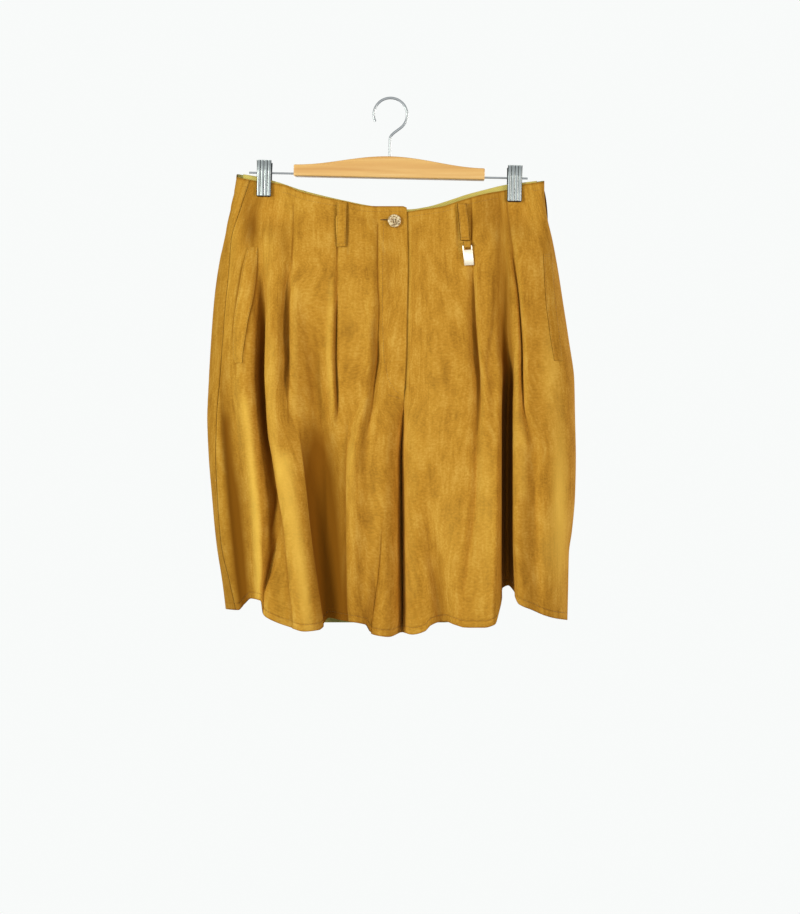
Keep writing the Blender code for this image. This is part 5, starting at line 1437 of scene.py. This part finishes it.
# pale hardwood with a thin satin varnish; the grain runs along the bar
varnishedWood = makeFinish(
    "varnishedWood", (("Roughness", 0.42), ("Specular IOR Level", 0.4), ("Coat Weight", 0.15),
                      ("Coat Roughness", 0.3)),
    "Object", (("Scale", (6.0, 130.0, 130.0)),),
    "ShaderNodeTexNoise", (("Scale", 1.0), ("Detail", 5.0), ("Distortion", 0.5)),
    ((0.3, "#CE9A55"), (0.55, "#DFB26C"), (0.75, "#E8C588")), (0.15, 0.1))
# buffalo horn: dark brown clouded with cream, polished
cloudedHorn = makeFinish(
    "cloudedHorn", (("Roughness", 0.3), ("Specular IOR Level", 0.5), ("Subsurface Weight", 0.04)),
    "Object", (("Scale", (260.0, 260.0, 420.0)),),
    "ShaderNodeTexNoise", (("Scale", 1.0), ("Detail", 4.0), ("Distortion", 1.2)),
    ((0.33, "#452C16"), (0.45, "#A5865A"), (0.57, "#E8D6B0")))
# black rubber with a dusty bloom for the clips' pads; also the painted shade in the button's holes and the
# buttonhole's slit
rubberAndHoleShade = makeFinish(
    "rubberAndHoleShade", (("Roughness", 0.75), ("Specular IOR Level", 0.3)),
    "Object", (("Scale", (500.0, 500.0, 500.0)),), "ShaderNodeTexNoise", (("Scale", 1.0),),
    ((0.35, "#141414"), (0.7, "#2B2B2A")))
print("hard materials made")

hanger = {
    "hookInside": 40.0,
    "wire": 3.4,
    "tip": 205.0,              # degrees round the hook where its tip is
    "leaves": -50.0,           # and where it bends into the stem
    "stemStarts": -52.0,
    "stemStraight": 6.0,       # how stiffly the bend runs into the stem, and out of the hook
    "hookStraight": 9.0,
    "stemBelowTop": 1.0,       # the stem ends inside the bar
    "barLength": 248.0,
    "barHeight": 28.0,
    "barEnd": 15.0,
    "barDepth": 12.0,
    "barRounding": 1.6,
    "rod": 2.6,
    "rodAbove": 3.8,           # over the bar's under side
    "rodInBar": 2.0,
    "rodEnds": (182.0, 180.0),
}
tilted = Matrix.Rotation(math.radians(hang["tilt"]), 4, "Y")
rodLevel = -hang["barUnderside"] + hanger["rodAbove"]


def finishMesh(name, bm, materials, nodes, matrix=None, body="shorts"):
    if matrix is not None:
        bmesh.ops.transform(bm, matrix=matrix, verts=bm.verts)
    bmesh.ops.remove_doubles(bm, verts=bm.verts, dist=0.00002)
    bmesh.ops.recalc_face_normals(bm, faces=bm.faces)
    for face in bm.faces:
        face.smooth = True
    mesh = bpy.data.meshes.new(name)
    bm.to_mesh(mesh)
    bm.free()
    return addPiece(name, mesh, materials, nodes, body)


def bevelSharp(bm, width, segments, angle=0.6):
    edges = [e for e in bm.edges if len(e.link_faces) == 2 and e.calc_face_angle(0.0) > angle]
    bmesh.ops.bevel(bm, geom=edges, offset=width * mm, segments=segments, profile=0.5,
                    affect="EDGES", material=-1)


def makeHook():
    radius = 0.5 * (hanger["hookInside"] + hanger["wire"])
    middle = -0.5 * hanger["hookInside"]
    angles = np.radians(np.linspace(hanger["tip"], hanger["leaves"], 60))
    points = [Vector((radius * math.cos(a), 0.0, middle + radius * math.sin(a))) for a in angles]
    last = angles[-1]
    heading = Vector((math.sin(last), 0.0, -math.cos(last)))
    stem = Vector((0.0, 0.0, hanger["stemStarts"]))
    leaving = points[-1]
    pulls = (leaving + heading * hanger["hookStraight"],
             stem + Vector((0.0, 0.0, hanger["stemStraight"])))
    for t in np.linspace(0.0, 1.0, 17)[1:]:
        u = 1.0 - t
        points.append(leaving * u ** 3 + pulls[0] * 3 * u * u * t + pulls[1] * 3 * u * t * t + stem * t ** 3)
    foot = -hang["barUnderside"] + hanger["barHeight"] - hanger["stemBelowTop"]
    points.append(Vector((0.0, 0.0, foot)))
    addWire("hangerHook", points, hanger["wire"], ("hanger_hook",))


def addWire(name, points, width, nodes):
    # a round wire: the bevel is 1 m thick at a point whose radius is 1, so the radius is its own
    curve = bpy.data.curves.new(name, "CURVE")
    curve.dimensions = "3D"
    curve.bevel_depth = 1.0
    curve.bevel_resolution = 5
    curve.use_fill_caps = True
    spline = curve.splines.new("POLY")
    spline.points.add(len(points) - 1)
    for point, spot in zip(spline.points, points):
        point.co = (*(tilted @ (Vector(spot) * mm)), 1.0)
        point.radius = 0.5 * width * mm
    piece = bpy.data.objects.new(name, curve)
    bpy.context.scene.collection.objects.link(piece)
    curve.materials.append(hangerWire)
    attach(piece, "shorts")
    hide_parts(*nodes)
    return piece


def makeBar():
    # flat below, gently arched above
    bm = bmesh.new()
    bmesh.ops.create_grid(bm, x_segments=60, y_segments=1, size=0.5)
    half = 0.5 * hanger["barLength"]
    for vert in bm.verts:
        share = vert.co.x * 2.0
        arch = math.cos(0.5 * math.pi * share) ** 2
        top = hanger["barEnd"] + (hanger["barHeight"] - hanger["barEnd"]) * arch
        vert.co = Vector((share * half, -0.5 * hanger["barDepth"], top if vert.co.y > 0.0 else 0.0)) * mm
    made = bmesh.ops.extrude_face_region(bm, geom=bm.faces[:])
    moved = [item for item in made["geom"] if isinstance(item, bmesh.types.BMVert)]
    bmesh.ops.translate(bm, vec=(0.0, hanger["barDepth"] * mm, 0.0), verts=moved)
    bmesh.ops.recalc_face_normals(bm, faces=bm.faces)
    bevelSharp(bm, hanger["barRounding"], 4)
    lift = Matrix.Translation((0.0, 0.0, -hang["barUnderside"] * mm))
    finishMesh("hangerBar", bm, (varnishedWood,), ("hanger_bar",), tilted @ lift)


def makeRods():
    inner = 0.5 * hanger["barLength"] - hanger["rodInBar"]
    for node, side, end in (("right", -1, hanger["rodEnds"][0]), ("left", 1, hanger["rodEnds"][1])):
        points = [(side * x, 0.0, rodLevel) for x in np.linspace(inner, end, 12)]
        addWire("hangerRod" + node.title(), points, hanger["rod"], ("hanger_rod_" + node,))


makeHook()
makeBar()
makeRods()
print("hanger made")


clip = {
    "width": 18.0,
    "sheet": 1.2,
    "rolled": 0.3,             # rounding of the sheet's edges
    "flutes": 4,
    "fluteDeep": 1.0,
    "fluteRound": 0.55,        # power that fills the flutes out
    "fluteIn": 0.1,            # their bottoms lie this far inside the side's line
    "columns": 12,             # to a flute
    "rows": 40,
    "groove": 0.13,            # how much of a flute is drawn in painted shade on each side
    "sleeve": 3.5,             # radius of the spring's turns round the rod
    "springWire": 1.0,
    "springTurns": 9,
    "springLong": 12.5,
    "padHeight": 9.0,
    "padThick": 1.4,
    "padNarrower": 1.0,        # than the clip
    "padRounding": 0.35,
    "padBelow": 0.9,
    "padGap": 0.35,            # to the cloth
}
# height above the rod, half distance between the plates' middles
clipSide = ((-30.5, 5.45), (-22, 5.6), (-11, 5.15), (0, 4.75), (6, 6.0), (15, 9.2))


def makePlate(name, facing, middle, node):
    # sheet steel rolled into flutes and flared above the rod, where fingers press it open
    side = curveThrough(clipSide)
    low, high = clipSide[0][0], clipSide[-1][0]
    bm = bmesh.new()
    bmesh.ops.create_grid(
        bm, x_segments=clip["columns"] * clip["flutes"], y_segments=clip["rows"] - 1, size=0.5)
    for vert in bm.verts:
        across = vert.co.x + 0.5
        height = low + (high - low) * (vert.co.y + 0.5)
        flute = abs(math.sin(math.pi * clip["flutes"] * across)) ** clip["fluteRound"]
        away = float(side(height)) - clip["fluteIn"] + clip["fluteDeep"] * flute
        vert.co = (Vector(((across - 0.5) * clip["width"], facing * away, height)) + middle) * mm
    for face in bm.faces:
        across = face.calc_center_median().x - middle.x * mm
        phase = (across / (clip["width"] * mm) + 0.5) * clip["flutes"]
        # painted shade in the flutes' hollows
        face.material_index = int(abs(phase - round(phase)) < clip["groove"])
    piece = finishMesh(name, bm, (clipSteel, clipGrooveShade), (node,), tilted)
    addWall(piece, clip["sheet"])
    edge = piece.modifiers.new("rolledEdge", "BEVEL")
    edge.width = clip["rolled"] * mm
    edge.segments = 2
    edge.angle_limit = math.radians(60.0)


def makePad(name, middle, node):
    bm = bmesh.new()
    bmesh.ops.create_cube(bm, size=1.0)
    size = Vector((clip["width"] - clip["padNarrower"], clip["padThick"], clip["padHeight"])) * mm
    bmesh.ops.scale(bm, vec=size, verts=bm.verts)
    bevelSharp(bm, clip["padRounding"], 3)
    finishMesh(name, bm, (rubberAndHoleShade,), (node,), tilted @ Matrix.Translation(middle * mm))


def makeSpring(name, middle, node):
    # the coil of the torsion spring, wound round the rod between the plates
    points = []
    turns = clip["springTurns"]
    for t in np.linspace(0.0, 1.0, turns * 20 + 1):
        angle = math.tau * turns * t
        along = (t - 0.5) * clip["springLong"]
        radius = clip["sleeve"] - 0.5 * clip["springWire"]
        points.append((middle.x + along, radius * math.cos(angle), middle.z + radius * math.sin(angle)))
    piece = addWire(name, points, clip["springWire"], (node,))
    piece.data.bevel_resolution = 2


def makeClip(sideName, clothX):
    middle = Vector((clothX - hang["hangerX"], 0.0, rodLevel))
    padY = cloth["pinched"] + 0.5 * cloth["suede"] + clip["padGap"] + 0.5 * clip["padThick"]
    padZ = clipSide[0][0] - clip["padBelow"] + 0.5 * clip["padHeight"]
    for part, facing in (("front", -1), ("back", 1)):
        node = "clip_" + sideName + "_" + part
        label = "clip" + sideName.title() + part.title()
        makePlate(label + "Plate", facing, middle, node)
        makePad(label + "Pad", middle + Vector((0.0, facing * padY, padZ)), node + "_pad")
    makeSpring("clip" + sideName.title() + "Spring", middle, "clip_" + sideName + "_sleeve")


for sideName, clothX in zip(("right", "left"), hang["clips"]):
    makeClip(sideName, clothX)
print("clips made")


tagSize = {
    "x": 86.6,                 # middle of the tag's top bar
    "drop": 88.6,
    "width": 12.6,
    "length": 25.4,            # below the middle of the bar
    "thick": 1.5,
    "bar": 1.5,                # above the slot
    "rounding": 0.32,
    "slotWidth": 9.4,
    "slotHeight": 4.6,
    "turn": -6.0,              # degrees, the tag hangs a little slantwise
    "loopWidth": 8.6,
    "loopThick": 1.0,
    "loopInside": 1.4,
    "loopRises": 5.6,
    "gap": 0.35,               # between its loop and the suede
}


def makeTag(turned):
    # a polished plate with a slot cut near its top, the edges eased
    bm = bmesh.new()
    upper, width = 0.5 * tagSize["bar"], tagSize["width"]
    bmesh.ops.create_cube(bm, size=1.0)
    height = tagSize["length"] + upper
    bmesh.ops.scale(bm, vec=(width, tagSize["thick"], height), verts=bm.verts)
    bmesh.ops.translate(bm, vec=(0.0, 0.0, upper - 0.5 * height), verts=bm.verts)
    half, low = 0.5 * tagSize["slotWidth"], -upper - tagSize["slotHeight"]
    cuts = (((-half, 0, 0), (1, 0, 0)), ((half, 0, 0), (1, 0, 0)),
            ((0, 0, -upper), (0, 0, 1)), ((0, 0, low), (0, 0, 1)))
    for spot, normal in cuts:
        whole = bm.verts[:] + bm.edges[:] + bm.faces[:]
        bmesh.ops.bisect_plane(bm, geom=whole, plane_co=spot, plane_no=normal)
    slot = []
    for face in bm.faces:
        at = face.calc_center_median()
        if abs(at.x) < half and low < at.z < -upper and abs(face.normal.y) > 0.9:
            slot.append(face)
    bmesh.ops.delete(bm, geom=slot, context="FACES")
    openEdges = [e for e in bm.edges if e.is_boundary]
    bmesh.ops.bridge_loops(bm, edges=openEdges)
    bmesh.ops.recalc_face_normals(bm, faces=bm.faces)
    bevelSharp(bm, tagSize["rounding"], 3, angle=1.0)
    bmesh.ops.scale(bm, vec=(mm, mm, mm), verts=bm.verts)
    finishMesh("metalTag", bm, (tagMetal,), ("tag",), turned, body="tag")


def makeTagLoop(turned):
    # a folded strip of suede that holds the tag's top bar
    radius = tagSize["loopInside"] + 0.5 * tagSize["loopThick"]
    rises = tagSize["loopRises"]
    path = [(radius, rises), (radius, 0.5 * rises)]
    path += [(radius * math.cos(a), -radius * math.sin(a)) for a in np.linspace(0.0, math.pi, 21)]
    path += [(-radius, 0.5 * rises), (-radius, rises)]
    half = 0.5 * tagSize["loopWidth"]
    across = np.linspace(-half, half, 7)
    points = np.array([[turned @ (Vector((x, y, z)) * mm) for x in across] for y, z in path])
    mesh = clothMesh("tagLoop_strip", points, None, 0.5)
    piece = addPiece("tagLoop_strip", mesh, (suede, cutEdgeAndGapShade), ("tag_loop",))
    addWall(piece, tagSize["loopThick"], rim=1)


tagOut = 0.5 * cloth["suede"] + tagSize["gap"] + tagSize["loopThick"] + tagSize["loopInside"]
tagFrame = clothFrame(tagSize["x"], tagSize["drop"], tagOut, tagSize["turn"])
makeTag(tagFrame)
makeTagLoop(tagFrame)
print("tag made")


button = {
    "x": -7.2,
    "drop": 55.8,
    "width": 17.0,
    "hole": 1.7,
    "holeLevel": 2.02,         # over the back of the button
    "holeShadeFlat": 0.12,          # half thickness of the dark disc of painted shade in a hole
    "apart": 3.0,
    "turn": 12.0,
    "gap": 0.45,               # between its back and the suede
    "threadAside": 0.25,       # the two lays of thread from the holes' middles
    "threadLevel": 2.2,
    "threadHalf": 0.26,
    "threadPast": 0.35,
    "threadRise": 0.4,
}
buttonhole = {
    "from": -25.8,
    "to": -15.4,
    "drop": 53.9,
    "stitchesAside": 0.75,
    "pitch": 0.9,
    "slitHalf": 0.35,
    "slitRise": 0.55,
    "slitLift": 0.2,
}
# from the middle out: share of the radius, height
buttonSide = ((0.0, 2.0), (0.4, 2.05), (0.58, 2.4), (0.68, 3.3), (0.76, 3.62), (0.84, 3.66), (0.93, 3.3),
              (0.985, 2.6), (1.0, 1.9), (0.97, 1.1), (0.88, 0.4), (0.72, 0.05), (0.0, 0.0))


def makeButton(turned):
    bm = bmesh.new()
    radius = 0.5 * button["width"]
    share, height = np.array(buttonSide).T
    bmesh.ops.create_grid(bm, x_segments=len(share) - 1, y_segments=1, size=0.5)
    otherSide = [v for v in bm.verts if v.co.y > 0.0]
    bmesh.ops.delete(bm, geom=otherSide, context="VERTS")
    for vert in bm.verts:
        k = round((vert.co.x + 0.5) * (len(share) - 1))
        vert.co = Vector((share[k] * radius, 0.0, height[k]))
    bmesh.ops.spin(bm, geom=bm.verts[:] + bm.edges[:], cent=(0, 0, 0), axis=(0, 0, 1),
                   angle=math.tau, steps=72, use_merge=True)
    bmesh.ops.remove_doubles(bm, verts=bm.verts, dist=0.001)
    bmesh.ops.scale(bm, vec=(mm, mm, mm), verts=bm.verts)
    finishMesh("hornButton", bm, (cloudedHorn,), ("button",), turned)


def makeButtonThread(turned):
    # two lays of thread between each pair of the four holes, each hole filled with a dark disc of painted
    # shade
    holeShade = bmesh.new()
    threads = bmesh.new()
    corner = 0.5 * button["apart"]
    turned = turned @ Matrix.Rotation(math.radians(button["turn"]), 4, "Z")
    radius, flat = 0.5 * button["hole"] * mm, button["holeShadeFlat"] * mm
    for x in (-corner, corner):
        for y in (-corner, corner):
            at = turned @ Matrix.Translation(Vector((x, y, button["holeLevel"])) * mm)
            disc = Matrix.Diagonal((radius, radius, flat, 1.0))
            bmesh.ops.create_uvsphere(holeShade, u_segments=16, v_segments=8, radius=1.0, matrix=at @ disc)
    aside = button["threadAside"]
    halves = Vector((button["threadHalf"], corner + button["threadPast"], button["threadRise"])) * mm
    for x in (-corner - aside, -corner + aside, corner - aside, corner + aside):
        at = turned @ Matrix.Translation(Vector((x, 0.0, button["threadLevel"])) * mm)
        lay = Matrix.Diagonal((*halves, 1.0))
        bmesh.ops.create_uvsphere(threads, u_segments=10, v_segments=12, radius=1.0, matrix=at @ lay)
    finishMesh("buttonHoleShade", holeShade, (rubberAndHoleShade,), ())
    finishMesh("buttonThread", threads, (sewingThread,), ())


def makeButtonhole():
    # a slit in the front, drawn as a flat dark lens of painted shade, its edges worked over with close
    # stitches
    start, end, drop = buttonhole["from"], buttonhole["to"], buttonhole["drop"]
    x = np.linspace(start, end, 24)
    lines = []
    for aside in (-buttonhole["stitchesAside"], buttonhole["stitchesAside"]):
        level = np.full(len(x), drop + aside)
        lines.append(lineOnCloth("frontRight", x, level, onFace, buttonhole["pitch"]))
    makeStitching("buttonholeStitches", lines)
    # the slit's painted shade: a flat dark lens just over the suede
    slitShade = bmesh.new()
    spot = clothFrame(0.5 * (start + end), drop, 0.5 * cloth["suede"] + buttonhole["slitLift"])
    halves = Vector((0.5 * (end - start), buttonhole["slitHalf"], buttonhole["slitRise"])) * mm
    bmesh.ops.create_uvsphere(slitShade, u_segments=20, v_segments=8, radius=1.0,
                              matrix=spot @ Matrix.Diagonal((*halves, 1.0)))
    finishMesh("buttonholeSlitShade", slitShade, (rubberAndHoleShade,), ())


buttonFrame = clothFrame(button["x"], button["drop"], 0.5 * cloth["suede"] + button["gap"])
buttonFrame = buttonFrame @ Matrix.Rotation(math.radians(90.0), 4, "X")
makeButton(buttonFrame)
makeButtonThread(buttonFrame)
makeButtonhole()
print("button made")


stageLook = {
    "floor": -1.75,            # m, out of sight when seen level
    "floorSize": 1.2,
    "white": "#F7F7F6",
    "air": 0.2,                # light from all round on the cloth
    "paper": 0.96,             # the same white as the camera sees it
}


def makeStage():
    bm = bmesh.new()
    bmesh.ops.create_circle(bm, cap_ends=True, segments=96, radius=stageLook["floorSize"])
    bmesh.ops.translate(bm, vec=(0.0, 0.0, stageLook["floor"]), verts=bm.verts)
    mesh = bpy.data.meshes.new("studioFloor")
    bm.to_mesh(mesh)
    bm.free()
    floor = bpy.data.objects.new("studioFloor", mesh)
    bpy.context.scene.collection.objects.link(floor)
    paint = (("Roughness", 0.9), ("Base Color", linear(stageLook["white"])))
    mesh.materials.append(newMaterial("matteFloorPaint", paint)[0])


# name, where it stands, width and height in m, watts, colour
softboxes = (
    ("softboxLeft", (-1.9, -1.7, 0.15), (0.6, 1.4), 49.0, "#FCFFF0"),
    ("softboxRight", (2.0, -1.5, 0.05), (0.6, 1.4), 29.0, "#FFF3E2"),
    ("softboxFront", (0.0, -3.4, -0.2), (2.6, 2.2), 22.0, "#FFFFFF"),
    ("softboxBack", (2.3, 2.0, 0.2), (0.6, 1.4), 46.0, "#FFFBF2"),
    ("softboxBackLow", (-1.2, 3.0, -0.3), (1.6, 1.8), 32.0, "#FFFFFF"),
)
clothMiddle = Vector((0.0, 0.0, -0.4))


def addLight(name, spot, size, power, colour):
    data = bpy.data.lights.new(name, "AREA")
    data.shape = "RECTANGLE"
    data.size, data.size_y = size
    data.energy = power
    data.color = linear(colour)[:3]
    light = bpy.data.objects.new(name, data)
    light.location = spot
    light.rotation_euler = (clothMiddle - Vector(spot)).to_track_quat("-Z", "Y").to_euler()
    bpy.context.scene.collection.objects.link(light)


makeStage()
for softbox in softboxes:
    addLight(*softbox)


def makeAir():
    # white paper all round; the camera and the polished metal see it brighter than it lights the cloth
    world = bpy.data.worlds.new("studioAir")
    bpy.context.scene.world = world
    world.use_nodes = True
    tree = world.node_tree
    lit = tree.nodes["Background"]
    lit.inputs["Color"].default_value = linear("#FFFFFF")
    lit.inputs["Strength"].default_value = stageLook["air"]
    seen = addNode(tree, "ShaderNodeBackground", (
        ("Color", linear("#FDFFFE")), ("Strength", stageLook["paper"])))
    ray = addNode(tree, "ShaderNodeLightPath")
    seenOrMirrored = addNode(tree, "ShaderNodeMath", (("operation", "MAXIMUM"),), (
        (0, ray.outputs["Is Camera Ray"]), (1, ray.outputs["Is Glossy Ray"])))
    both = addNode(tree, "ShaderNodeMixShader", (), (
        (0, seenOrMirrored.outputs[0]), (1, lit.outputs[0]), (2, seen.outputs[0])))
    tree.links.new(both.outputs[0], tree.nodes["World Output"].inputs["Surface"])


makeAir()
lens = {
    "distance": hang["viewDistance"] * mm,
    "across": 1.04,            # m that the frame shows at the hanger's plane
    "sensor": 36.0,
}
camera = bpy.data.objects.new("camera", bpy.data.cameras.new("camera"))
camera.data.sensor_fit = "HORIZONTAL"
camera.data.sensor_width = lens["sensor"]
camera.data.lens = lens["sensor"] * lens["distance"] / lens["across"]
eyeHeight = -(hang["barUnderside"] + hang["viewHeight"]) * mm
camera.location = (-hang["hangerX"] * mm, -lens["distance"], eyeHeight)
camera.rotation_euler = (math.radians(90.0), 0.0, 0.0)
bpy.context.scene.collection.objects.link(camera)
bpy.context.scene.camera = camera
bpy.context.scene.view_settings.view_transform = "Standard"
print("stage, lights and camera set")
